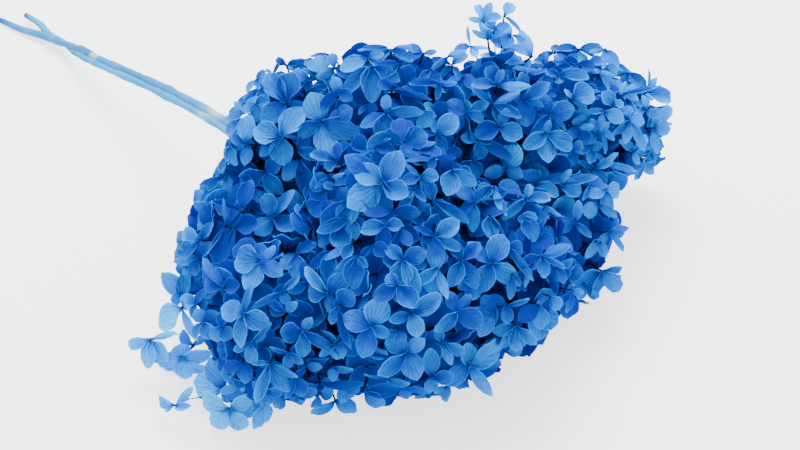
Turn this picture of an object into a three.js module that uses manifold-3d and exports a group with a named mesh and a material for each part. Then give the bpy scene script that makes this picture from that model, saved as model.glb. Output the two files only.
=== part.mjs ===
// A preserved hydrangea stem, lying on its side as cut. Millimetres, +Z up.
// The stem is two slender shoots grown tight together, which part again at the cut end. In the
// head it branches into limbs. Each limb carries sprays, and a spray is a knot of branchlets
// whose thin stalks hold four-sepalled florets. The origin is the middle of the outline, on the
// surface that the stem lies on, and the stem runs along +X into the head.
import * as THREE from 'three';
import { mergeVertices } from 'three/addons/utils/BufferGeometryUtils.js';
import Module from 'manifold-3d';

const wasm = await Module();
wasm.setup();

// Driving dimensions

// All places below are measured from the point on the surface under the stem's way into the
// head. This is where that point lies from the origin.
const HEAD_ENTRY = [73.2, -52.2, 0];
const SEED = 41;
const GAP = 0.3;
const MERGE_DISTANCE = 1e-4;
const FINEST_DETAIL = 0.02;
const CUT_BLOCK = [1000, 600, 50];

// The stem
const SHOOT_RADIUS = 1.6;
const SHOOT_OFFSET = 1.3;
const SHOOT_ANGLES = [-1.8, -0.9, 0, 0.9, 1.8];
const WAIST_SHARE = 0.58;
const STEM_STEPS = 16;
const STEM_LEAN = 0.84;
const NECK_TWIST = Math.PI / 2;
const NECK_SHARE = 0.14;
const NODE_SHARES = [0.17, 0.56];
const NODE_SWELL = 0.3;
const NODE_SPAN = 0.012;
const HUB = [12, 8, 48];
const STEM_LINE = [[-231, 13.5, 6.4], [-170, 12, 19], [-92, 12.5, 35], [-12, 5, 54.5], HUB];
const CUT_ENDS = [
  [[-218, 13.5, 8.4], [-240, 11.5, 5.2], [-268, 4.5, 2.6], [-293, -1, 1.5]],
  [[-218, 13.5, 8.4], [-240, 14, 6], [-262, 13.6, 5.2], [-283, 12, 5]],
];
const CUT_END_SIDES = 6;
const CUT_END_STEPS = 5;

// The limbs inside the head, from the hub outwards, and the stubs where sprays are carried
const LIMBS = {
  right: [HUB, [34, 50, 50], [48, 92, 43], [52, 132, 36]],
  front: [HUB, [46, 20, 42], [86, 28, 38]],
  left: [HUB, [32, -2, 42], [62, -10, 38]],
};
const LIMB_RADIUS = 1.9;
const LIMB_TAPER = 0.3;
const LIMB_SIDES = 6;
const LIMB_STEPS = 5;
const LIMB_SAMPLES = 80;
const LIMB_BARE_SHARE = 0.1;
const STALK_RADIUS = 1.5;
const STALK_SIDES = 4;
const STUB_LENGTH = 3;
const KNOT_SHARE = 0.36;
const KNOT_ROOM = 1.5;
const ROOT_SHARE = 0.45;
const FORK_RADIUS = 2.6;

// The florets, larger than life so that fewer of them cover the head
const FLORET_WIDTH = 30;
const FLORET_SPREAD = 0.1;
const PRESSED_WIDTH = 30;
const SEPAL_THICKNESS = 0.85;
const EYE_SHARE = 0.1;
const SHOULDER_SHARES = [0.376, 0.424];
const SHOULDER_ANGLE = 0.6;
const SHOULDER_LIFT = 0.6;
const TIP_SHARES = [0.46, 0.53];
const LIFTS = [-0.07, 0.1];
const DROOPS = [-0.02, 0.05];
const FACING_JITTER = 0.2;

// The florets go on in layers, the outer one first: how deep each layer lies, how far apart its
// florets stand, and how far past a wall one may start before it is pushed back.
const LAYERS = [
  { depth: 0, apart: 22, past: 8 },
  { depth: 4.5, apart: 19, past: 8 },
  { depth: 9, apart: 17, past: 8 },
];
const PLACE_SPACING = 11;
const TRIES = 8;
const TRY_SHRINK = 0.035;
const LOWEST_START = 0.55;
const RESTING_SHARE = 1.1;
const MOST_SHIFT = 14;
const PUSH_ROUNDS = 40;
const PUSH_TOLERANCE = 1e-6;

// The sprays of the dense head: middle, reach of the sepals and the limb that carries it
const DENSE_SPRAYS = [
  { name: 'spray_crown', middle: [50, 42, 64], reach: 36, limb: 'front' },
  { name: 'spray_shoulder', middle: [28, 16, 58], reach: 29, limb: 'left' },
  { name: 'spray_middle', middle: [82, 20, 56], reach: 33, limb: 'front' },
  { name: 'spray_top_right', middle: [64, 83, 56], reach: 34, limb: 'right' },
  { name: 'spray_right', middle: [67, 120, 47], reach: 33, limb: 'right' },
  { name: 'spray_far_right', middle: [62, 156, 38], reach: 24, limb: 'right' },
  { name: 'spray_front', middle: [103, 8, 38], reach: 37, limb: 'front' },
  { name: 'spray_front_left', middle: [83, -28, 32], reach: 29, limb: 'left' },
  { name: 'spray_front_right', middle: [110, 41, 36], reach: 35, limb: 'front' },
  { name: 'spray_low_right', middle: [100, 85, 32], reach: 27, limb: 'right' },
  { name: 'spray_left', middle: [45, -18, 35], reach: 25, limb: 'left' },
  { name: 'spray_back_left', middle: [20, -4, 30], reach: 24, limb: 'left' },
  { name: 'spray_back_low', middle: [34, 44, 34], reach: 32, limb: 'front' },
  { name: 'spray_back_right', middle: [40, 92, 30], reach: 30, limb: 'right' },
];

// The loose sprays: a fork on a long stalk, and florets that stand apart on stalks of their own
const LOOSE_SPRAYS = [
  {
    name: 'spray_loose_left',
    middle: [55, -45, 18],
    reach: 20,
    limb: 'left',
    florets: [
      { at: [51, -66, 18], facing: [0.1, -0.7, 0.6], width: 25 },
      { at: [49, -51, 27], facing: [0.1, -0.5, 0.7], width: 26 },
      { at: [58, -60, 9], facing: [0.4, -0.5, 0.7], width: 25 },
    ],
  },
  {
    name: 'spray_loose_front',
    middle: [80, -50, 9],
    reach: 18,
    limb: 'left',
    florets: [
      { at: [70, -69, 4], facing: [-0.1, -0.4, 0.9], width: 23 },
      { at: [75, -59, 10], facing: [0.2, -0.5, 0.8], width: 26 },
      { at: [89, -58, 8], facing: [0.5, -0.4, 0.7], width: 27 },
      { at: [98, -50, 8], facing: [0.6, -0.3, 0.7], width: 26 },
    ],
  },
  {
    name: 'spray_back_top',
    middle: [38, 110, 66],
    reach: 20,
    limb: 'right',
    florets: [
      { at: [36, 103, 94], facing: [0.4, -0.6, 0.5], width: 22 },
      { at: [36, 114, 93], facing: [0.5, 0.2, 0.6], width: 20 },
      { at: [46, 110, 86], facing: [0.5, -0.1, 0.7], width: 24 },
      { at: [47, 119, 82], facing: [0.3, 0.6, 0.6], width: 25 },
      { at: [33, 97, 84], facing: [-0.1, -0.7, 0.6], width: 23 },
    ],
  },
];

const COLOURS = { stem: 0x8fbad6, petal: 0x2f7fdc, petalPale: 0x6fb2ec };
const ROUGHNESS = 0.8;

// A seeded draw, so that every build is the same
let randomState = SEED;
function random() {
  randomState = (randomState + 0x6d2b79f5) | 0;
  let t = Math.imul(randomState ^ (randomState >>> 15), 1 | randomState);
  t = (t + Math.imul(t ^ (t >>> 7), 61 | t)) ^ t;
  return ((t ^ (t >>> 14)) >>> 0) / 4294967296;
}

function between(low, high) {
  return low + (high - low) * random();
}

function vector(point) {
  return new THREE.Vector3(...point);
}

function curveThrough(points) {
  return new THREE.CatmullRomCurve3(points.map(vector));
}

// Solids and geometries
function toSolid(geometry) {
  geometry.deleteAttribute('normal');
  geometry.deleteAttribute('uv');
  const merged = mergeVertices(geometry, MERGE_DISTANCE);
  return new wasm.Manifold(new wasm.Mesh({
    numProp: 3,
    vertProperties: new Float32Array(merged.attributes.position.array),
    triVerts: new Uint32Array(merged.index.array),
  }));
}

function solidFrom(points, indices) {
  const geometry = new THREE.BufferGeometry().setFromPoints(points);
  geometry.setIndex(indices);
  return toSolid(geometry);
}

function toGeometry(solid) {
  const mesh = solid.getMesh();
  const geometry = new THREE.BufferGeometry();
  geometry.setAttribute('position', new THREE.BufferAttribute(mesh.vertProperties, 3));
  geometry.setIndex(new THREE.BufferAttribute(mesh.triVerts, 1));
  geometry.computeVertexNormals();
  return geometry;
}

// Joins solids and keeps the one body: loose scraps go and sealed hollows are filled.
function join(solids) {
  const bodies = wasm.Manifold.union(solids).simplify(FINEST_DETAIL).decompose();
  return bodies.reduce((best, body) => (body.volume() > best.volume() ? body : best));
}

// A closed tube along a curve. The ring gives its section at each share of the length, as
// offsets to the side and up.
function tube(curve, ring, steps) {
  const points = [];
  const indices = [];
  const sides = ring(0).length;
  for (let i = 0; i <= steps; i += 1) {
    const centre = curve.getPointAt(i / steps);
    const along = curve.getTangentAt(i / steps);
    const upright = Math.abs(along.z) > 0.9;
    const side = vector(upright ? [1, 0, 0] : [0, 0, 1]).cross(along).normalize();
    const up = along.clone().cross(side);
    for (const [a, b] of ring(i / steps)) {
      points.push(centre.clone().addScaledVector(side, a).addScaledVector(up, b));
    }
  }
  const next = (k) => (k + 1) % sides;
  const last = steps * sides;
  for (let i = 0; i < last; i += sides) {
    for (let k = 0; k < sides; k += 1) {
      indices.push(i + k, i + next(k), i + next(k) + sides);
      indices.push(i + k, i + next(k) + sides, i + k + sides);
    }
  }
  const startCentre = points.length;
  const endCentre = startCentre + 1;
  points.push(curve.getPointAt(0), curve.getPointAt(1));
  for (let k = 0; k < sides; k += 1) {
    indices.push(startCentre, next(k), k);
    indices.push(endCentre, last + k, last + next(k));
  }
  return solidFrom(points, indices);
}

function circle(radius, sides) {
  return Array.from({ length: sides }, (_, k) => {
    const angle = (2 * Math.PI * (k + 0.5)) / sides;
    return [radius * Math.cos(angle), radius * Math.sin(angle)];
  });
}

function branch(points, radiusAt, steps, sides) {
  return tube(curveThrough(points), (share) => circle(radiusAt(share), sides), steps);
}

function stalk(start, end) {
  return tube(new THREE.LineCurve3(start, end), () => circle(STALK_RADIUS, STALK_SIDES), 1);
}

// A ball of twenty faces, for a knot of branchlets or a fork
function ball(centre, radius) {
  const geometry = new THREE.IcosahedronGeometry(radius, 0);
  geometry.translate(centre.x, centre.y, centre.z);
  return toSolid(geometry);
}

// One floret: four blades round an eye, each folded along two lines, and a tapering stalk. The
// outline is given in the floret's own frame, facing +Z: for each sepal the notch before it,
// its left shoulder, its tip and its right shoulder.
const OUTLINE_POINTS = 16;

function sepalOutline(width, lift, droop, turn) {
  const shoulder = width * between(...SHOULDER_SHARES);
  const tip = width * between(...TIP_SHARES);
  const at = (angle, radius, height) => new THREE.Vector3(
    radius * Math.cos(turn + angle),
    radius * Math.sin(turn + angle),
    height,
  );
  return [
    at(-Math.PI / 4, EYE_SHARE * width, 0),
    at(-SHOULDER_ANGLE, shoulder, lift * SHOULDER_LIFT - droop),
    at(0, tip, lift),
    at(SHOULDER_ANGLE, shoulder, lift * SHOULDER_LIFT - droop * between(0.3, 1)),
  ];
}

function floretOutline(width, flat) {
  return [0, 1, 2, 3].flatMap((i) => {
    const lift = flat ? 0 : width * between(...LIFTS);
    const droop = flat ? 0 : width * between(...DROOPS);
    return sepalOutline(width, lift, droop, (Math.PI / 2) * i);
  });
}

// Both faces of each blade are split alike. The stalk runs from the notches to its root.
function floretSolid(blades, root) {
  const under = OUTLINE_POINTS;
  const rootPoint = 2 * OUTLINE_POINTS;
  const indices = [0, 4, 8, 0, 8, 12];
  for (let notch = 0; notch < OUTLINE_POINTS; notch += 4) {
    const [left, tip, right] = [notch + 1, notch + 2, notch + 3];
    const next = (notch + 4) % OUTLINE_POINTS;
    for (const [a, b, c] of [[notch, left, tip], [notch, tip, next], [next, tip, right]]) {
      indices.push(a, b, c, a + under, c + under, b + under);
    }
    const outline = [notch, left, tip, right, next];
    for (let k = 0; k < 4; k += 1) {
      const [a, b] = [outline[k], outline[k + 1]];
      indices.push(b, a, a + under, b, a + under, b + under);
    }
    indices.push(next + under, notch + under, rootPoint);
  }
  return solidFrom([...blades.upper, ...blades.lower, root], indices);
}

// Sets a floret's blades at a place, facing a way, turned about it by a random angle
function placeBlades(centre, facing, width, flat) {
  const ahead = vector([0, 0, 1]);
  const turn = new THREE.Quaternion().setFromUnitVectors(ahead, facing);
  turn.multiply(new THREE.Quaternion().setFromAxisAngle(ahead, between(0, Math.PI / 2)));
  const place = (point) => point.applyQuaternion(turn).add(centre);
  const upper = floretOutline(width, flat).map(place);
  const behind = facing.clone().multiplyScalar(-SEPAL_THICKNESS);
  return { centre, upper, lower: upper.map((point) => point.clone().add(behind)) };
}

// The walls that part a spray from its neighbours. The first one is the surface below.
function wallsOf(spray, sprays) {
  const walls = [{ normal: vector([0, 0, -1]), offset: 0 }];
  for (const other of sprays) {
    if (other === spray) continue;
    const normal = other.middle.clone().sub(spray.middle);
    const distance = normal.length();
    normal.divideScalar(distance);
    const along = (distance ** 2 + spray.reach ** 2 - other.reach ** 2) / (2 * distance);
    walls.push({ normal, offset: normal.dot(spray.middle) + along - (2 / 3) * GAP });
  }
  return walls;
}

function pastWall(point, wall) {
  return point.dot(wall.normal) - wall.offset;
}

// Moves blades until they are clear of every wall, and says how far they went
function pushClear(blades, walls) {
  const start = blades.centre.clone();
  const points = [...blades.upper, ...blades.lower];
  for (let round = 0; round < PUSH_ROUNDS; round += 1) {
    const depths = walls.map((wall) => Math.max(...points.map((point) => pastWall(point, wall))));
    const deepest = Math.max(...depths);
    if (deepest < PUSH_TOLERANCE) return start.distanceTo(blades.centre);
    const back = walls[depths.indexOf(deepest)].normal.clone().multiplyScalar(-deepest);
    points.forEach((point) => point.add(back));
    blades.centre.add(back);
  }
  return Infinity;
}

// The stem's section: two shoots side by side, turning about each other as they near the neck
// and swelling a little at the old leaf nodes
function twinRing(share) {
  const neck = Math.max(0, 1 - share / NECK_SHARE);
  const lean = STEM_LEAN + NECK_TWIST * neck * neck * (3 - 2 * neck);
  const swell = (at) => NODE_SWELL * Math.exp(-(((share - at) / NODE_SPAN) ** 2));
  const radius = SHOOT_RADIUS * NODE_SHARES.reduce((sum, at) => sum + swell(at), 1);
  const half = SHOOT_ANGLES.map((angle) => [
    SHOOT_OFFSET + radius * Math.cos(angle),
    radius * Math.sin(angle),
  ]);
  const waist = WAIST_SHARE * radius;
  const outline = [...half, [0, waist], ...half.map(([a, b]) => [-a, -b]), [0, -waist]];
  return outline.map(([a, b]) => [
    a * Math.cos(lean) - b * Math.sin(lean),
    a * Math.sin(lean) + b * Math.cos(lean),
  ]);
}

// Takes away what lies below the surface
function cutAtSurface(solid) {
  const block = new THREE.BoxGeometry(...CUT_BLOCK);
  block.translate(0, 0, -CUT_BLOCK[2] / 2);
  return solid.subtract(toSolid(block));
}

function buildStem(sprays) {
  const limbRadius = (share) => LIMB_RADIUS * (1 - LIMB_TAPER * share);
  return cutAtSurface(join([
    tube(curveThrough(STEM_LINE), twinRing, STEM_STEPS),
    ...CUT_ENDS.map((points) => branch(points, () => SHOOT_RADIUS, CUT_END_STEPS, CUT_END_SIDES)),
    ...Object.values(LIMBS).map((points) => branch(points, limbRadius, LIMB_STEPS, LIMB_SIDES)),
    ...sprays.map((spray) => stalk(spray.foot, spray.seat)),
  ]));
}

// Finds where on its limb a spray is carried. The limb's stub ends at the seat, and the
// spray's own stalk starts a gap further on.
function seatSpray(spray) {
  const samples = curveThrough(LIMBS[spray.limb]).getSpacedPoints(LIMB_SAMPLES);
  const nearer = (a, b) => (
    b.distanceTo(spray.middle) < a.distanceTo(spray.middle) ? b : a
  );
  const foot = samples.slice(LIMB_SAMPLES * LIMB_BARE_SHARE).reduce(nearer);
  const way = spray.middle.clone().sub(foot).normalize();
  const stub = LIMB_RADIUS + STUB_LENGTH;
  spray.foot = foot;
  spray.seat = foot.clone().addScaledVector(way, stub);
  spray.start = foot.clone().addScaledVector(way, stub + GAP);
  const room = spray.start.distanceTo(spray.middle) - KNOT_ROOM;
  spray.knot = Math.min(spray.reach * KNOT_SHARE, room);
}

// Directions spread evenly over a ball, so that places at this reach are the spacing apart
function evenDirections(reach, spacing) {
  const share = (Math.sqrt(3) / 2) * spacing ** 2;
  const count = Math.round((4 * Math.PI * reach ** 2) / share);
  const golden = Math.PI * (3 - Math.sqrt(5));
  const first = between(0, 2 * Math.PI);
  return Array.from({ length: count }, (_, i) => {
    const height = 1 - (2 * i + 1) / count;
    const radius = Math.sqrt(1 - height * height);
    const angle = first + golden * i;
    return new THREE.Vector3(radius * Math.cos(angle), radius * Math.sin(angle), height);
  });
}

// A floret with its stalk rooted in the spray's knot, and the part of it outside the knot
function rootFloret(blades, spray) {
  const outward = blades.centre.clone().sub(spray.middle).normalize();
  const root = spray.middle.clone().addScaledVector(outward, spray.knot * ROOT_SHARE);
  const solid = floretSolid(blades, root);
  const knotEdge = spray.middle.dot(outward) + spray.knot;
  return { centre: blades.centre, solid, outer: solid.trimByPlane(outward.toArray(), knotEdge) };
}

// The floret that the surface presses flat under a spray
function pressedFloret(spray) {
  const centre = spray.middle.clone().setZ(0);
  return rootFloret(placeBlades(centre, vector([0, 0, -1]), PRESSED_WIDTH, true), spray);
}

// One try at a floret of a layer, smaller at each try, or null where it can't be kept clear
function tryFloret(spray, direction, depth, walls, attempt) {
  const shrink = 1 - TRY_SHRINK * attempt;
  const width = FLORET_WIDTH * shrink * between(1 - FLORET_SPREAD, 1 + FLORET_SPREAD);
  const centre = spray.middle.clone().addScaledVector(direction, spray.reach - depth);
  const jitter = () => between(-FACING_JITTER, FACING_JITTER);
  const facing = direction.clone().add(new THREE.Vector3(jitter(), jitter(), jitter()));
  const blades = placeBlades(centre, facing.normalize(), width, false);
  return pushClear(blades, walls) > MOST_SHIFT ? null : rootFloret(blades, spray);
}

// A dense spray. Each floret is kept where it crosses neither its neighbours, nor the stem, nor
// the stalks of other sprays.
function denseSpray(spray, sprays, stem) {
  const walls = wallsOf(spray, sprays);
  const foreign = wasm.Manifold.union([
    stem,
    ...sprays.filter((other) => other !== spray).map((other) => stalk(other.start, other.middle)),
  ]);
  const centres = [];
  let florets = null;
  const keep = (floret) => {
    centres.push(floret.centre);
    florets = florets ? florets.add(floret.solid) : floret.solid;
  };
  const fits = (floret, apart) => floret
    && centres.every((centre) => centre.distanceTo(floret.centre) > apart)
    && floret.solid.minGap(foreign, 2 * GAP) > GAP
    && (!florets || florets.intersect(floret.outer).isEmpty());
  if (spray.middle.z < spray.reach * RESTING_SHARE) keep(pressedFloret(spray));
  const directions = evenDirections(spray.reach, PLACE_SPACING);
  for (const { depth, apart, past } of LAYERS) {
    for (const direction of directions) {
      const place = spray.middle.clone().addScaledVector(direction, spray.reach - depth);
      const beyond = walls.slice(1).some((wall) => pastWall(place, wall) > past);
      if (beyond || place.z < -spray.reach * LOWEST_START) continue;
      for (let attempt = 0; attempt < TRIES; attempt += 1) {
        const floret = tryFloret(spray, direction, depth, walls, attempt);
        if (!fits(floret, apart)) continue;
        keep(floret);
        break;
      }
    }
  }
  return join([florets, ball(spray.middle, spray.knot), stalk(spray.start, spray.middle)]);
}

// A loose spray. Each floret is placed by hand, on a straight thin stalk from the fork.
function looseSpray(spray, sprays) {
  const walls = wallsOf(spray, sprays);
  const florets = spray.florets.map(({ at, facing, width }) => {
    const blades = placeBlades(vector(at), vector(facing).normalize(), width, false);
    pushClear(blades, walls);
    return floretSolid(blades, spray.middle);
  });
  return join([...florets, ball(spray.middle, FORK_RADIUS), stalk(spray.start, spray.middle)]);
}

function named(name, solid, colour) {
  const material = new THREE.MeshStandardMaterial({
    color: colour,
    roughness: ROUGHNESS,
    metalness: 0,
  });
  const mesh = new THREE.Mesh(toGeometry(solid), material);
  mesh.name = name;
  return mesh;
}

const sprays = [...DENSE_SPRAYS, ...LOOSE_SPRAYS].map((spray) => (
  { ...spray, middle: vector(spray.middle) }
));
sprays.forEach(seatSpray);
const stem = buildStem(sprays);

const group = new THREE.Group();
group.position.set(...HEAD_ENTRY);
group.add(named('stem', stem, COLOURS.stem));
for (const spray of sprays) {
  const loose = 'florets' in spray;
  const solid = loose ? looseSpray(spray, sprays) : denseSpray(spray, sprays, stem);
  group.add(named(spray.name, solid, loose ? COLOURS.petalPale : COLOURS.petal));
}

export default group;
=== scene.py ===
"""A preserved hydrangea stem, dyed blue and lying on its side, on a pale floor.

Two slender shoots lie tight together as the stem. In the head they branch into limbs, which
carry sprays of four-sepalled florets: fourteen crowded mounds and three loose sprays.
"""

import math
import random
from typing import NamedTuple

import bmesh
import bpy
from mathutils import Matrix, Quaternion, Vector
from mathutils.geometry import intersect_point_line


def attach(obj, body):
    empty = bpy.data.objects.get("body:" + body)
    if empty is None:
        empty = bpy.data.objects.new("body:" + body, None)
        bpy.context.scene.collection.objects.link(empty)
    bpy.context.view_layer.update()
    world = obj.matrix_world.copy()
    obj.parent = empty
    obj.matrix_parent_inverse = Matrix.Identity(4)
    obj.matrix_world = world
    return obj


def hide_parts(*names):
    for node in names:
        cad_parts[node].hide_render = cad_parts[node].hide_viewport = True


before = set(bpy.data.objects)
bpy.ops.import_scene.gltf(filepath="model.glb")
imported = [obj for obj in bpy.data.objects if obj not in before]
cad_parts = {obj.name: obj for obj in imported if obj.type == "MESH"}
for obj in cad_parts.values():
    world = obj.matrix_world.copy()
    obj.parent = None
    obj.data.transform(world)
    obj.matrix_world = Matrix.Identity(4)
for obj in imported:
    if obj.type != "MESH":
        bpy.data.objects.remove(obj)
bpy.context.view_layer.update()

bl_info = {
    "name": "Preserved hydrangea stem",
    "version": (1, 0, 0),
    "blender": (4, 5, 0),
    "location": "View3D > Sidebar > Hydrangea",
    "description": "Models a dyed, preserved hydrangea head on its bare stem",
    "category": "Add Mesh",
}

MM = 0.001

# Places are in millimetres from the point on the floor under the stem's way into the head.
# This is where that point lies from the origin.
HEAD_ENTRY = Vector((73.2, -52.2, 0))

# The stem's middle line ends at the hub, where the limbs part. Before its start the two shoots
# go their own ways to their cut ends.
HUB = (12, 8, 48)
STEM_LINE = ((-231, 13.5, 6.4), (-170, 12, 19), (-92, 12.5, 35), (-12, 5, 54.5), HUB)
LONG_END = ((-248, 10.2, 4.8), (-270, 4.0, 2.7), (-292.3, -1, 1.9))
SHORT_END = ((-248, 12.4, 5.2), (-264, 13.6, 5.4), (-283, 12, 5))
LIMBS = {
    "right": (HUB, (34, 50, 50), (48, 92, 43), (52, 132, 36)),
    "front": (HUB, (46, 20, 42), (86, 28, 38)),
    "left": (HUB, (32, -2, 42), (62, -10, 38)),
}


class DenseSpray(NamedTuple):
    """A crowded mound: its middle, how far its sepals reach, and the limb that carries it."""

    middle: tuple
    reach: float
    limb: str


DENSE_SPRAYS = {
    "spray_crown": DenseSpray((50, 42, 64), 36, "front"),
    "spray_shoulder": DenseSpray((28, 16, 58), 29, "left"),
    "spray_middle": DenseSpray((82, 20, 56), 33, "front"),
    "spray_top_right": DenseSpray((64, 83, 56), 34, "right"),
    "spray_right": DenseSpray((67, 120, 47), 33, "right"),
    "spray_far_right": DenseSpray((62, 156, 38), 24, "right"),
    "spray_front": DenseSpray((103, 8, 38), 37, "front"),
    "spray_front_left": DenseSpray((83, -28, 32), 29, "left"),
    "spray_front_right": DenseSpray((110, 41, 36), 35, "front"),
    "spray_low_right": DenseSpray((100, 85, 32), 27, "right"),
    "spray_left": DenseSpray((45, -18, 35), 25, "left"),
    "spray_back_left": DenseSpray((20, -4, 30), 24, "left"),
    "spray_back_low": DenseSpray((34, 44, 34), 32, "front"),
    "spray_back_right": DenseSpray((40, 92, 30), 30, "right"),
}

# The camera, in millimetres like the rest, and the photo's frame
CAMERA_PLACE = Vector((350.1, -174.6, 283.5))
CAMERA_PITCH = math.radians(35)
CAMERA_LEVEL = Vector((-0.803, 0.595, 0)).normalized()
AHEAD = CAMERA_LEVEL * math.cos(CAMERA_PITCH) - Vector((0, 0, math.sin(CAMERA_PITCH)))
RIGHT = CAMERA_LEVEL.cross(Vector((0, 0, 1)))
UP = RIGHT.cross(AHEAD)
PHOTO_MIDDLE = (400, 225)
FOCAL_PIXELS = 1099
LENS = 49.45
SENSOR_WIDTH = 36
CLIP_START = 0.01


class Seen(NamedTuple):
    """A floret that the photo shows, read in its pixels.

    Each sepal has its middle, its breadth and, where it differs from the floret's, how much paler it
    is. These tones are partly the floret's own colour and partly painted light and shade. A loose
    floret also has its height in millimetres.
    """

    eye: tuple
    sepals: tuple
    tone: float = 0.0
    height: float = 0.0


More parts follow.
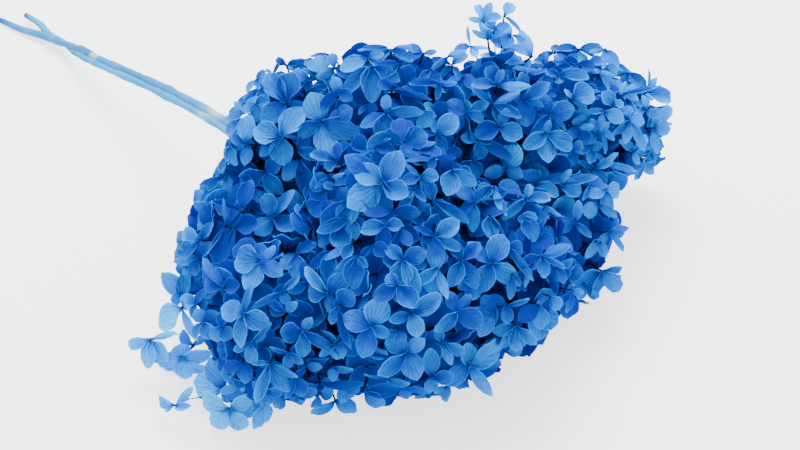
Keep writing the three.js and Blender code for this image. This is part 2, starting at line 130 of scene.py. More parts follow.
HEAD_FLORETS = (
    # Left shoulder
    Seen((287, 104), ((290, 88, 27), (274, 113, 22), (276, 88, 20), (301, 107, 9)), 0.05),
    Seen((281, 138), ((292, 122, 26, 0.3), (267, 134, 25), (282, 152, 25), (270, 147, 14, -0.2)), 0.2),
    Seen((297, 150), ((309, 154, 13), (303, 142, 12, -0.3)), 0.05),
    Seen((249, 144), ((248, 129, 18, 0.35), (247, 155, 12), (240, 140, 12, -0.2)), 0.1),
    Seen((266, 172), ((253, 178, 19), (273, 184, 19, 0.1), (273, 167, 16, -0.35)), 0.15),
    Seen((299, 160), ((291, 170, 16), (306, 183, 17, -0.3), (304, 165, 14, -0.3)), 0.0),
    Seen((310, 164), ((314, 174, 22, -0.1), (322, 168, 16, -0.2)), -0.2),
    Seen((227, 170), ((229, 180, 9, 0.2), (238, 178, 10, -0.3), (222, 184, 9, 0.1)), 0.0),
    # Left outline, from the stem's entry downwards
    Seen((262, 90), ((252, 94, 8), (264, 100, 13), (253, 103, 8), (266, 82, 9)), 0.5),
    Seen((273, 77), ((281, 80, 14, 0.15), (278, 68, 5, 0.1), (265, 84, 12), (269, 72, 4)), 0.25),
    Seen((287, 66), ((281, 63, 7), (294, 64, 7), (302, 63, 4, 0.2)), 0.1),
    Seen((322, 76), ((320, 65, 23, 0.3), (312, 72, 8, -0.1), (330, 84, 7)), 0.25),
    Seen((334, 57), ((321, 55, 7), (329, 60, 6)), 0.1),
    Seen((308, 92), ((318, 83, 4, 0.3), (324, 88, 6, 0.2)), 0.15),
    Seen((368, 59), ((354, 64, 18, 0.15), (376, 56, 9), (377, 66, 8, 0.1)), 0.3),
    Seen((391, 51), ((374, 49, 8), (401, 46, 11), (380, 60, 10, 0.1), (402, 57, 10, -0.1)), 0.25),
    Seen((423, 54), ((414, 48, 11, -0.1), (430, 53, 7), (413, 59, 8)), 0.15),
    Seen((399, 65), ((386, 66, 11), (392, 72, 8, -0.1)), 0.1),
    Seen((430, 70), ((424, 77, 9), (433, 79, 14, -0.15)), 0.15),
    Seen((452, 66), ((445, 75, 5, 0.2), (457, 74, 6, 0.1), (440, 62, 8), (460, 60, 9)), 0.2),
    Seen((448, 57), ((440, 63, 6), (458, 52, 11, 0.15)), 0.25),
    Seen((246, 112), ((252, 104, 11), (238, 117, 9), (240, 107, 9)), 0.65),
    Seen((238, 120), ((233, 128, 11), (230, 118, 9), (236, 136, 9), (244, 124, 10)), 0.8),
    Seen((228, 155), ((231, 146, 8), (224, 164, 8), (234, 160, 7)), 0.35),
    Seen((223, 177), ((222, 168, 8), (216, 185, 8), (227, 188, 9)), 0.35),
    Seen((210, 190), ((204, 189, 8), (217, 186, 8), (214, 199, 9), (206, 197, 6)), 0.4),
    Seen((204, 206), ((199, 205, 9), (203, 219, 12, 0.1), (215, 207, 14, -0.1)), 0.35),
    Seen((202, 240), ((190, 236, 17, 0.2), (193, 250, 8), (208, 231, 10, -0.3)), 0.35),
    Seen((200, 258), ((186, 260, 12), (206, 250, 12, -0.3), (196, 267, 12, -0.2)), 0.25),
    Seen((184, 298), ((173, 285, 22), (187, 284, 15, -0.1), (177, 299, 12)), 0.4),
    Seen((197, 294), ((197, 287, 14, 0.2), (187, 286, 15, -0.1), (206, 291, 12, -0.2)), 0.15),
    Seen(
        (205, 322), ((199, 316, 13, 0.15), (213, 317, 15, -0.1), (210, 330, 17), (198, 330, 11)),
        0.15),
    Seen((222, 327), ((216, 334, 16, 0.1), (228, 332, 16), (224, 319, 12, -0.2)), 0.1),
    Seen((238, 108), ((247, 101, 8), (233, 112, 7, 0.1), (243, 112, 9)), 0.5),
    Seen((256, 80), ((262, 76, 8), (251, 86, 8, 0.1), (261, 86, 10, -0.1)), 0.45),
    Seen((305, 84), ((300, 76, 14, 0.1), (312, 90, 12, -0.1), (296, 88, 10), (314, 80, 8, 0.1)), 0.2),
    Seen((190, 276), ((184, 269, 11), (197, 274, 13), (190, 284, 11)), 0.2),
    Seen((197, 304), ((191, 300, 11, 0.2), (203, 303, 13), (197, 313, 13), (204, 296, 8)), 0.15),
    Seen((186, 248), ((182, 241, 10), (190, 254, 11, -0.1), (180, 251, 9, 0.1)), 0.25),
    Seen((214, 180), ((208, 186, 9), (219, 174, 9, 0.1), (217, 187, 9)), 0.3),
    Seen((197, 250), ((189, 247, 14), (192, 258, 15, -0.2), (202, 260, 15, -0.3)), 0.1),
    Seen((192, 267), ((186, 271, 13), (199, 271, 15, -0.2), (184, 263, 10)), 0.1),
    Seen((188, 240), ((182, 244, 12), (189, 250, 13, -0.1), (182, 236, 9)), 0.3),
    Seen((298, 72), ((292, 68, 11), (306, 70, 12), (299, 79, 13, -0.1)), 0.2),
    Seen((316, 66), ((309, 62, 10), (323, 68, 11), (316, 74, 13, -0.1)), 0.2),
    Seen((256, 104), ((249, 108, 12), (263, 102, 12), (257, 113, 13, -0.1)), 0.4),
    Seen((232, 146), ((227, 152, 11), (239, 144, 12), (234, 156, 12)), 0.4),
    Seen((226, 164), ((220, 170, 11), (233, 160, 12, -0.1), (230, 172, 12, -0.1)), 0.3),
    # Left flank
    Seen((273, 219), ((269, 206, 17), (283, 204, 13, 0.1), (264, 227, 19), (284, 225, 19)), 0.1),
    Seen((297, 222), ((296, 206, 17), (298, 236, 15), (308, 217, 12, 0.1)), 0.0),
    Seen((281, 232), ((281, 246, 12), (272, 240, 9, -0.3)), 0.0),
    Seen(
        (262, 262), ((247, 261, 28), (254, 276, 20, 0.1), (268, 253, 11, -0.1), (273, 269, 17, -0.25)),
        0.2),
    Seen((296, 254), ((297, 266, 19, 0.1), (288, 262, 14, -0.2), (306, 248, 12, -0.2)), 0.05),
    Seen((226, 226), ((217, 240, 5, 0.25), (234, 217, 4, 0.1), (225, 212, 5)), 0.0),
    Seen((242, 212), ((234, 221, 4, 0.1), (246, 195, 17, 0.0), (226, 206, 6, -0.2)), -0.2),
    Seen((236, 228), ((240, 240, 26), (224, 246, 24), (248, 226, 22)), -0.55),
    Seen((224, 288), ((232, 286, 17), (214, 284, 20, 0.15), (211, 272, 10, 0.25)), -0.3),
    Seen((252, 190), ((247, 181, 8, -0.2), (257, 196, 10), (246, 197, 12)), -0.1),
    # Crown
    Seen(
        (322, 122), ((316, 107, 28, 0.25), (326, 139, 25, 0.25), (309, 129, 15), (346, 131, 22, -0.05)),
        0.1),
    Seen((336, 118), ((345, 114, 20), (333, 116, 14)), -0.15),
    Seen((383, 184), ((392, 167, 25, -0.1), (396, 190, 22), (365, 196, 30), (369, 176, 24)), 0.25),
    Seen((380, 178), ((362, 167, 22), (385, 206, 18)), -0.1),
    Seen((386, 113), ((373, 120, 15), (385, 128, 24, 0.1), (386, 103, 11), (405, 113, 11)), 0.1),
    Seen((419, 112), ((425, 119, 20, 0.25), (411, 119, 16, -0.2)), 0.1),
    Seen((404, 142), ((416, 138, 22), (407, 147, 13, -0.2), (402, 128, 24, -0.45)), 0.05),
    Seen((436, 134), ((447, 125, 21, 0.3), (440, 145, 14, 0.1), (426, 134, 7, -0.3)), 0.05),
    Seen((434, 158), ((432, 164, 9), (418, 160, 5), (445, 158, 5, -0.2)), 0.1),
    Seen((451, 145), ((452, 153, 19), (447, 141, 12, -0.2)), -0.1),
    Seen(
        (466, 113), ((456, 108, 19), (479, 106, 11, 0.1), (475, 118, 11, 0.1), (458, 124, 12, -0.2)),
        0.05),
    Seen((471, 160), ((479, 150, 16), (475, 169, 14), (461, 167, 11, -0.2)), 0.1),
    Seen((452, 171), ((449, 184, 22), (465, 178, 13, 0.15)), 0.3),
    Seen((420, 177), ((428, 188, 15, 0.1), (430, 176, 14), (412, 170, 6), (410, 180, 12, -0.1)), 0.05),
    Seen((375, 147), ((366, 153, 5, 0.2), (383, 143, 5, 0.2), (385, 150, 14, -0.4)), 0.0),
    Seen((366, 106), ((362, 110, 5, 0.1), (372, 108, 10, -0.3)), 0.0),
    Seen((340, 92), ((346, 96, 14), (336, 84, 13, 0.2), (330, 101, 10, -0.2)), 0.05),
    Seen((372, 68), ((372, 85, 22, 0.1), (355, 84, 16), (386, 74, 14, -0.1)), 0.0),
    Seen((392, 90), ((403, 92, 6, -0.1), (416, 96, 5), (385, 86, 12, -0.2)), -0.1),
    Seen((439, 84), ((438, 92, 7), (424, 84, 8, 0.1), (448, 84, 7, 0.1)), -0.1),
    Seen((464, 76), ((464, 88, 14), (470, 84, 12, -0.2), (455, 80, 9, 0.1)), 0.0),
    Seen((335, 68), ((325, 72, 9, 0.2), (345, 74, 13), (333, 60, 12)), 0.05),
    Seen((307, 70), ((318, 80, 8, 0.1), (300, 64, 12, 0.1), (322, 66, 9)), 0.0),
    Seen((338, 162), ((331, 163, 20, 0.1), (323, 157, 12), (338, 152, 10, -0.2)), 0.05),
    Seen((330, 178), ((338, 176, 5), (322, 183, 5, 0.1)), 0.1),
    Seen((322, 202), ((321, 204, 3), (330, 205, 10, 0.2), (316, 208, 22)), -0.35),
    Seen((337, 188), ((344, 194, 15), (330, 186, 8, 0.1)), -0.15),
    # Under the crown
    Seen((352, 200), ((348, 213, 24, 0.1), (336, 212, 16, -0.25), (362, 208, 12, -0.3)), 0.0),
    Seen((352, 218), ((354, 229, 14, 0.35), (334, 225, 14, -0.1), (360, 222, 10, -0.2)), 0.05),
    Seen((338, 226), ((343, 238, 22), (328, 236, 18, -0.2)), 0.05),
    Seen((352, 244), ((348, 252, 12), (338, 252, 10, -0.1)), 0.2),
    Seen((393, 211), ((407, 212, 15), (385, 219, 20), (378, 212, 12, -0.1)), 0.0),
    Seen((386, 226), ((373, 229, 17, 0.1), (395, 226, 14), (384, 240, 16, -0.3)), 0.05),
    Seen((414, 190), ((405, 203, 10), (420, 196, 8), (408, 193, 12, -0.1)), 0.1),
    Seen((432, 200), ((440, 206, 13), (452, 212, 12), (430, 190, 12, -0.2)), 0.0),
    Seen((372, 246), ((370, 250, 7), (366, 252, 8, -0.2), (380, 250, 16, -0.4)), -0.1),
    Seen((434, 237), ((447, 229, 19, 0.05), (448, 244, 12), (435, 254, 18), (424, 232, 8, -0.4)), 0.15),
    Seen((402, 228), ((406, 238, 13, -0.1), (396, 240, 7)), -0.25),
    Seen((403, 260), ((394, 253, 14), (415, 256, 18), (402, 273, 24), (411, 277, 17, 0.1)), 0.1),
    Seen((397, 286), ((385, 293, 18, -0.2), (407, 297, 22), (392, 280, 14, -0.2)), 0.1),
    Seen((437, 268), ((433, 280, 21), (426, 276, 13), (442, 284, 10)), 0.25),
    # Middle front
    Seen(
        (329, 293), ((339, 283, 20, 0.15), (318, 292, 22, -0.05), (331, 305, 13), (317, 280, 12, 0.1)),
        0.1),
    Seen((332, 252), ((330, 267, 18), (342, 262, 12), (320, 262, 12, -0.2)), -0.05),
    Seen((358, 256), ((355, 272, 21), (346, 266, 10, 0.2), (363, 262, 9, 0.15)), 0.0),
    Seen((306, 284), ((314, 282, 14, 0.2), (297, 288, 12), (304, 272, 10, -0.2)), 0.0),
    Seen((282, 292), ((285, 298, 11), (267, 300, 8), (291, 284, 8, 0.1)), 0.1),
    Seen((372, 326), ((377, 312, 27, 0.15), (357, 321, 22), (381, 331, 13), (367, 342, 22)), 0.1),
    Seen((340, 305), ((346, 298, 22), (335, 315, 10, 0.1), (347, 334, 10)), -0.1),
    Seen((411, 313), ((426, 304, 20), (415, 325, 18, 0.25), (400, 317, 12, -0.15)), 0.05),
    Seen((457, 311), ((452, 301, 15), (470, 318, 21), (446, 321, 16), (464, 303, 10, -0.1)), 0.0),
    Seen((461, 261), ((456, 250, 14, -0.1), (455, 274, 17), (469, 275, 16), (470, 252, 14)), 0.0),
    Seen((491, 264), ((497, 249, 24), (505, 273, 20, 0.15), (484, 278, 22), (479, 253, 15)), 0.1),
    Seen((474, 280), ((474, 290, 20), (466, 284, 12)), 0.0),
    Seen((506, 247), ((515, 250, 20), (520, 264, 9, 0.15)), -0.05),
    Seen((512, 274), ((511, 287, 9), (516, 280, 8)), -0.05),
    Seen((493, 313), ((488, 304, 16), (486, 325, 18), (480, 312, 12, -0.1)), 0.0),
    Seen((506, 305), ((507, 315, 13), (518, 302, 6, 0.1), (498, 300, 10, -0.3)), 0.05),
    Seen((515, 325), ((504, 329, 13), (517, 339, 20), (526, 335, 12), (508, 337, 12)), 0.2),
    # Low front
    Seen((244, 314), ((232, 311, 23), (257, 319, 22), (243, 331, 15), (248, 298, 8, -0.1)), 0.3),
    Seen((252, 343), ((242, 347, 9), (259, 339, 6), (252, 354, 14), (262, 333, 6)), 0.15),
    Seen((302, 331), ((291, 331, 23, -0.2), (307, 324, 11, 0.1), (303, 345, 16), (318, 341, 11)), 0.05),
    Seen((318, 330), ((327, 339, 15, 0.3), (331, 345, 6)), 0.1),
    Seen((337, 343), ((336, 352, 18), (328, 350, 8)), 0.15),
    Seen((284, 312), ((291, 307, 10), (276, 306, 9, -0.2)), 0.0),
    Seen((289, 352), ((279, 350, 6, 0.2), (296, 358, 9), (288, 361, 11)), 0.0),
    Seen((306, 366), ((314, 367, 10), (300, 372, 8, -0.1)), 0.0),
    Seen(
        (270, 362), ((279, 379, 20), (284, 370, 8, 0.2), (260, 362, 6, 0.2), (263, 382, 13, 0.35)),
        0.1),
    Seen((243, 362), ((243, 374, 15), (232, 366, 12, -0.2)), -0.15),
    Seen((296, 374), ((299, 386, 18), (290, 388, 10, -0.2)), -0.05),
    Seen((285, 396), ((279, 403, 13), (295, 399, 6, 0.1)), 0.1),
    Seen((333, 366), ((333, 374, 11), (343, 368, 8)), 0.05),
    Seen((320, 382), ((330, 382, 6, 0.25), (312, 386, 5, 0.15), (352, 381, 8)), 0.1),
    Seen((335, 400), ((347, 395, 14), (346, 408, 15), (323, 408, 10)), 0.3),
    Seen((364, 388), ((374, 398, 17), (383, 388, 14, -0.2)), 0.1),
    Seen((386, 377), ((375, 376, 4, 0.2), (398, 381, 9)), 0.1),
    Seen((407, 352), ((416, 345, 15, 0.15), (412, 368, 23), (392, 363, 18), (397, 344, 22)), 0.15),
    Seen((398, 330), ((400, 337, 14), (390, 334, 10)), -0.05),
    Seen((432, 376), ((431, 362, 18), (431, 384, 14), (443, 375, 14)), 0.1),
    Seen((442, 342), ((439, 335, 10, 0.15), (447, 354, 10, 0.2), (454, 348, 13, -0.1)), 0.05),
    Seen((404, 386), ((406, 394, 14), (418, 390, 9)), 0.0),
    Seen((446, 386), ((447, 396, 12), (440, 390, 8)), 0.2),
    Seen((468, 365), ((468, 354, 17), (486, 354, 24), (455, 374, 16), (480, 381, 14)), 0.35),
    Seen((462, 376), ((461, 384, 13), (488, 368, 16)), -0.05),
    Seen((500, 338), ((500, 346, 12), (492, 343, 9)), 0.05),
    Seen((318, 392), ((310, 388, 13), (326, 392, 15), (316, 402, 11)), 0.1),
    Seen((344, 386), ((337, 382, 12), (352, 388, 13), (343, 395, 13)), 0.0),
    Seen((299, 392), ((291, 388, 12), (308, 392, 13), (300, 400, 12, -0.1)), 0.0),
    Seen((268, 390), ((260, 386, 12), (276, 390, 13), (268, 398, 12)), 0.05),
    Seen((505, 352), ((497, 350, 11), (514, 350, 13, 0.1), (506, 345, 9)), 0.1),
    # Low right
    Seen((541, 257), ((556, 251, 12), (542, 268, 14, 0.1), (530, 262, 16, -0.2), (553, 263, 6)), 0.1),
    Seen((532, 264), ((529, 276, 8, 0.1), (522, 272, 8, -0.2)), -0.05),
    Seen((538, 305), ((541, 318, 17), (528, 313, 16, -0.4)), 0.2),
    Seen((549, 296), ((555, 303, 14, 0.3), (545, 306, 12, -0.2)), 0.05),
    Seen((570, 290), ((569, 302, 8), (578, 292, 8, 0.1), (562, 298, 8, -0.1)), 0.05),
    Seen((600, 270), ((589, 275, 17), (611, 281, 17, 0.1), (612, 269, 9, 0.1), (596, 283, 10)), 0.2),
    Seen((584, 283), ((582, 292, 10, 0.1), (577, 282, 9), (592, 291, 11)), 0.15),
    Seen((574, 222), ((577, 211, 10, 0.1), (583, 230, 8, 0.15), (564, 225, 16, -0.1)), 0.05),
    Seen((557, 268), ((561, 276, 10), (566, 264, 9, -0.1)), 0.05),
    # Right lobe, near part
    Seen((499, 127), ((487, 131, 20, -0.25), (511, 132, 20, 0.2), (504, 117, 11)), 0.1),
    Seen((493, 105), ((499, 116, 13), (507, 112, 13, -0.1), (507, 98, 9), (482, 97, 8)), 0.1),
    Seen((497, 86), ((514, 87, 11, 0.25), (484, 85, 14), (500, 78, 9, 0.1)), 0.1),
    Seen((523, 100), ((525, 113, 22, -0.15), (537, 91, 15, 0.0), (534, 103, 6, 0.1)), 0.0),
    Seen(
        (549, 115), ((562, 111, 20, 0.05), (546, 104, 14, -0.1), (540, 126, 12, -0.2), (558, 123, 5)),
        0.1),
    Seen((545, 134), ((560, 141, 19), (546, 149, 20), (534, 141, 16), (547, 127, 8)), 0.15),
    Seen((506, 168), ((512, 156, 23, 0.3), (515, 173, 13), (495, 172, 14, 0.3)), 0.15),
    Seen((478, 140), ((469, 138, 12, 0.3), (486, 141, 8), (496, 150, 12, -0.2)), 0.1),
    Seen((493, 188), ((485, 191, 16), (499, 203, 10, 0.1), (476, 200, 10, -0.1)), 0.35),
    Seen((525, 200), ((514, 209, 10), (538, 200, 15, -0.1), (528, 192, 9, -0.2)), 0.35),
    Seen((531, 184), ((531, 176, 22), (521, 183, 8)), -0.05),
    Seen((536, 184), ((547, 190, 14, 0.3), (552, 180, 8, -0.1)), 0.15),
    Seen((474, 203), ((473, 217, 14, 0.1), (463, 212, 12, -0.15), (465, 193, 16, -0.2)), 0.1),
    Seen((490, 216), ((490, 228, 19), (498, 232, 8, -0.2)), 0.3),
    Seen((519, 216), ((529, 217, 10, 0.35), (528, 228, 20, 0.05), (520, 220, 6, 0.1)), 0.05),
    Seen((560, 186), ((571, 189, 18), (566, 177, 8, 0.1), (580, 181, 9, 0.05)), 0.1),
    Seen((545, 205), ((554, 210, 7), (542, 214, 8, -0.2)), 0.05),
    # Right lobe, far part
    Seen((558, 76), ((560, 80, 12), (574, 76, 13), (552, 74, 8)), 0.3),
    Seen((571, 100), ((583, 94, 25, -0.05), (579, 104, 7, 0.15), (568, 94, 6, 0.2)), 0.3),
    Seen((590, 118), ((581, 120, 10), (585, 112, 9)), 0.25),
    Seen((604, 112), ((615, 116, 15, 0.1), (602, 120, 9), (594, 112, 7)), 0.4),
    Seen((613, 106), ((607, 99, 14), (619, 104, 9, 0.1)), 0.5),
    Seen((620, 96), ((631, 96, 14, 0.1), (624, 88, 5), (638, 92, 6)), 0.5),
    Seen((645, 110), ((633, 114, 11), (645, 102, 8), (652, 114, 9)), 0.55),
    Seen((628, 121), ((626, 133, 9, 0.15), (637, 136, 9), (620, 128, 9, -0.3)), 0.45),
    Seen((632, 152), ((641, 143, 10, 0.15), (626, 146, 9), (637, 158, 10)), 0.45),
    Seen((647, 92), ((659, 97, 19), (653, 84, 7), (649, 79, 3), (655, 88, 6)), 0.55),
    Seen((653, 128), ((663, 128, 16), (655, 117, 11), (656, 141, 12)), 0.6),
    Seen((650, 152), ((655, 146, 12), (648, 162, 13), (640, 150, 8)), 0.55),
    Seen((600, 130), ((598, 132, 6, 0.1), (608, 135, 7), (603, 142, 5)), 0.25),
    Seen((578, 50), ((591, 49, 8, 0.15), (566, 50, 9), (586, 56, 6)), 0.3),
    Seen((555, 54), ((555, 49, 8), (545, 57, 7, 0.1), (566, 57, 7)), 0.25),
    Seen((605, 50), ((611, 60, 12, 0.1), (602, 62, 8), (596, 52, 6)), 0.4),
    Seen((566, 62), ((560, 58, 10), (574, 60, 11), (566, 68, 9), (556, 64, 8)), 0.2),
    Seen((588, 62), ((580, 58, 11), (596, 62, 11), (586, 68, 10)), 0.25),
    Seen((545, 64), ((539, 62, 8), (551, 66, 9), (546, 58, 7)), 0.2),
    Seen((562, 52), ((571, 54, 8), (556, 50, 8), (564, 58, 9)), 0.2),
    Seen((578, 64), ((570, 63, 11, -0.2), (587, 67, 12, -0.2), (578, 73, 12, -0.2)), 0.1),
    Seen((603, 68), ((595, 69, 12, -0.2), (611, 70, 12), (604, 77, 12, -0.1)), 0.25),
    Seen((557, 67), ((549, 69, 10, -0.2), (564, 69, 11, -0.3), (557, 75, 12, -0.2)), 0.1),
    Seen((612, 65), ((606, 60, 10), (619, 73, 11), (611, 73, 11, -0.2)), 0.35),
    Seen((597, 134), ((590, 138, 12, -0.1), (603, 128, 9), (594, 126, 10, -0.1)), 0.15),
    Seen((578, 130), ((584, 137, 14), (572, 134, 11, -0.1), (586, 128, 9)), 0.05),
    Seen((570, 150), ((577, 146, 11), (572, 158, 12), (564, 152, 9)), 0.05),
    Seen((590, 148), ((597, 146, 10), (590, 156, 12), (583, 150, 9)), 0.15),
    Seen((628, 74), ((617, 70, 7, 0.1), (637, 82, 11), (622, 82, 9, -0.2)), 0.3),
    Seen((600, 75), ((607, 74, 10), (597, 72, 5, 0.2), (604, 83, 6, 0.1)), 0.3),
    Seen((594, 168), ((598, 178, 18), (584, 164, 6), (604, 163, 9, -0.1)), 0.4),
    Seen((605, 163), ((622, 167, 7, 0.2), (612, 158, 6), (600, 158, 6, -0.1)), 0.45),
    Seen((642, 160), ((648, 167, 12, 0.1), (638, 170, 9), (650, 155, 10)), 0.6),
    Seen((622, 172), ((626, 178, 10, -0.2), (615, 168, 8, -0.2)), 0.25),
    Seen((604, 190), ((613, 191, 17, 0.1), (606, 203, 12), (595, 194, 12, -0.1)), 0.5),
    Seen((598, 204), ((591, 209, 15), (608, 211, 8)), 0.35),
    Seen((590, 186), ((585, 194, 6, 0.1), (583, 182, 6)), 0.35),
    Seen((608, 232), ((619, 230, 8, 0.1), (616, 242, 6, 0.1), (602, 240, 9, -0.2)), 0.3),
    Seen((600, 242), ((604, 250, 11, 0.05), (592, 250, 10, -0.1)), 0.25),
)


class Hollow(NamedTuple):
    """A hollow that the photo shows, in its pixels, and how many layers of florets it lacks."""

    middle: tuple
    radius: float
    layers: int = 1


HOLLOWS = (
    Hollow((428, 98), 20, 2), Hollow((404, 96), 9), Hollow((404, 156), 8), Hollow((345, 162), 9),
    Hollow((303, 93), 9), Hollow((326, 186), 7), Hollow((549, 165), 9), Hollow((282, 276), 9),
    Hollow((277, 335), 10), Hollow((376, 266), 6), Hollow((415, 226), 9), Hollow((470, 233), 7),
    Hollow((506, 226), 9), Hollow((493, 337), 9), Hollow((500, 309), 7), Hollow((456, 330), 8),
    Hollow((487, 291), 7), Hollow((374, 372), 9), Hollow((566, 200), 8), Hollow((536, 246), 8),
    Hollow((324, 318), 7), Hollow((270, 357), 6), Hollow((562, 283), 8), Hollow((208, 297), 7, 3),
    Hollow((197, 340), 6, 3), Hollow((488, 66), 7, 3), Hollow((552, 69), 7, 3),
    Hollow((565, 66), 6, 3),
)

# The head's outline as read in the photo, and how far inside it other florets stay
HEAD_OUTLINE = (
    (228, 118), (240, 100), (250, 88), (270, 68), (300, 60), (325, 54), (345, 60), (365, 50),
    (390, 42), (430, 46), (436, 56), (450, 52), (468, 47), (485, 58), (505, 55), (535, 58),
    (550, 47), (580, 44), (604, 48), (620, 66), (640, 78), (660, 80), (668, 95), (672, 128),
    (660, 150), (655, 175), (632, 178), (622, 184), (620, 208), (606, 218), (626, 230),
    (622, 242), (610, 255), (605, 262), (622, 266), (620, 290), (600, 296), (580, 303),
    (560, 312), (548, 328), (540, 340), (528, 350), (505, 353), (492, 368), (485, 392),
    (470, 390), (450, 407), (430, 396), (400, 402), (372, 410), (345, 416), (320, 418),
    (300, 405), (280, 408), (262, 398), (240, 392), (222, 378), (210, 362), (196, 350),
    (190, 335), (180, 318), (165, 300), (165, 282), (176, 260), (176, 235), (190, 215), (205, 188),
    (215, 160), (226, 140),
)
OUTLINE_MARGIN = 9


class LooseSpray(NamedTuple):
    """A spray of few florets: its middle, the limb that carries it, and its florets."""

    middle: tuple
    limb: str
    florets: tuple


LOOSE_SPRAYS = {
    "spray_loose_left": LooseSpray((55, -45, 18), "left", (
        Seen((183, 308), ((169, 317, 29, 0.15), (190, 303, 19), (190, 324, 11, -0.1)), 0.45, 27),
        Seen((152, 339), ((138, 343, 13), (160, 350, 24), (150, 354, 20, 0.1), (169, 334, 7)), 0.5, 18),
        Seen(
            (183, 357), ((168, 360, 14), (182, 350, 19, -0.1), (198, 355, 15, -0.1), (184, 368, 25)),
            0.4, 14),
        Seen((178, 361), ((167, 370, 18), (194, 364, 14)), 0.6, 4),
        Seen((193, 345), ((187, 338, 13), (201, 340, 8)), -0.1, 14),
    )),
    "spray_loose_front": LooseSpray((80, -50, 9), "left", (
        Seen((176, 405), ((164, 403, 14), (186, 395, 9), (186, 404, 9), (170, 409, 4)), 0.35, 8),
        Seen((225, 389), ((205, 388, 28, 0.15), (217, 373, 19, -0.2), (231, 394, 15, -0.1)), 0.3, 9),
        Seen(
            (230, 409), ((220, 419, 22, 0.1), (216, 402, 20), (242, 402, 16), (238, 419, 19, -0.1)),
            0.55, 8),
        Seen((260, 402), ((250, 410, 13), (264, 415, 20, -0.1), (256, 415, 15)), 0.5, 8),
        Seen((210, 349), ((215, 339, 17), (226, 342, 14, 0.1), (220, 356, 8)), 0.05, 14),
        Seen(
            (240, 384), ((233, 379, 13), (248, 384, 14, -0.1), (240, 393, 13), (230, 388, 9)),
            0.1, 14),
        Seen((256, 392), ((248, 389, 12), (264, 394, 14), (256, 401, 13)), 0.15, 12),
    )),
    "spray_back_top": LooseSpray((38, 110, 66), "right", (
        Seen((488, 40), ((484, 22, 10), (492, 24, 12, 0.1), (480, 35, 6), (498, 34, 9)), 0.35, 85),
        Seen((484, 22), ((480, 11, 9, -0.1), (488, 12, 9), (476, 20, 6), (493, 20, 10, 0.1)), 0.35, 92),
        Seen((494, 30), ((491, 22, 10, 0.1), (502, 27, 8, -0.1), (488, 27, 7)), 0.3, 90),
        Seen((504, 17), ((509, 9, 13), (513, 25, 4, -0.4)), 0.6, 96),
        Seen(
            (511, 36), ((506, 28, 12, 0.2), (507, 43, 15, -0.2), (518, 41, 7, -0.3), (500, 38, 9)),
            0.15, 84),
        Seen(
            (506, 50), ((500, 44, 12, -0.1), (512, 46, 11, -0.3), (504, 58, 12), (514, 56, 8, 0.1)),
            0.2, 78),
        Seen((531, 57), ((527, 42, 13), (519, 51, 10, -0.1)), 0.4, 76),
        Seen((471, 47), ((470, 36, 4), (462, 51, 9), (474, 53, 9), (480, 49, 5)), 0.35, 74),
        Seen((500, 62), ((512, 65, 15), (490, 57, 7), (487, 67, 9, -0.2)), 0.45, 72),
        Seen((516, 70), ((525, 65, 10), (508, 71, 9), (520, 76, 8, -0.2)), 0.4, 70),
    )),
}

# Sprays whose florets are paler than usual
PALER_SPRAYS = {
    "spray_far_right": 0.5, "spray_right": 0.25, "spray_back_left": 0.25, "spray_left": 0.1,
    "spray_low_right": 0.1,
}


class Layer(NamedTuple):
    """One layer of a dense spray's florets, in millimetres.

    It lies at a depth under the spray's outside. Its florets stand apart, and no further than past a
    neighbour's wall. Their painted shade, deeper for deeper layers, lies between the two values.
    """

    depth: float
    apart: float
    past: float
    painted_shades: tuple


# The deeper a layer lies, the darker its florets are painted: painted shade inside the head
LAYERS = (
    Layer(0, 8.8, 1, (-0.4, 0.1)),
    Layer(6, 9, 1, (-0.75, -0.35)),
    Layer(12, 11, 0, (-1.0, -0.7)),
)
LAYER_UNREST = 4
SPIRAL_UNREST = (-0.05, 0.05)
SPINS = (0, 7)
CANDIDATE_SPACING = 4
SEED = 7

# How a floret read from the photo is laid out, in millimetres and shares. Another floret that is
# close to one of these is left out, and one that is fairly close sinks.
SEEN_PROUD = 1.0
STANDS_OUT = 2.0
SEEN_OUTWARD = 0.6
LONGEST_SEPAL = 15
SEPAL_SPACING = 0.25
SEEN_ROLLS = (-0.12, 0.12)
SEEN_LIFTS = (-0.08, 0.12)
SEEN_TINTS = (0.35, 0.65)
CLEAR_OF_SEEN = 6.5
SINK_NEAR_SEEN = 13
SINK = 3.5

# The floor: how far above it florets and branchlets stay, and how what is lower is flattened
FLOOR_CLEARANCE = 1.5
FLOOR_GAP = 0.25 * MM
FLOOR_SOFT = 2 * MM

# Branchlets, in millimetres: how far a spray's stalk starts from the middle of its limb, its radii,
# how far a branchlet sags, and how far behind its floret it ends
STALK_START = 5.2
STALK_RADII = (1.3, 1.0)
DENSE_BRANCHLET = 0.5
LOOSE_BRANCHLET = 0.35
BRANCHLET_SAG = 1.5
BRANCHLET_TAPER = 0.5
BRANCHLET_STEPS = 3
BRANCHLET_SIDES = 6
DENSE_STALK_DEPTH = 6
LOOSE_STALK_DEPTH = 8
INNER_BRANCHLETS = 10

# A limb is searched at this many points between two of its own for the place nearest to a spray,
# but not at its first few points, which lie in the hub
SEARCH_STEPS = 20
SEARCH_START = 4


# Driving values that a user would change

def colour_setting(name, description, default):
    return bpy.props.FloatVectorProperty(
        name=name, description=description, default=default, size=3, subtype="COLOR")


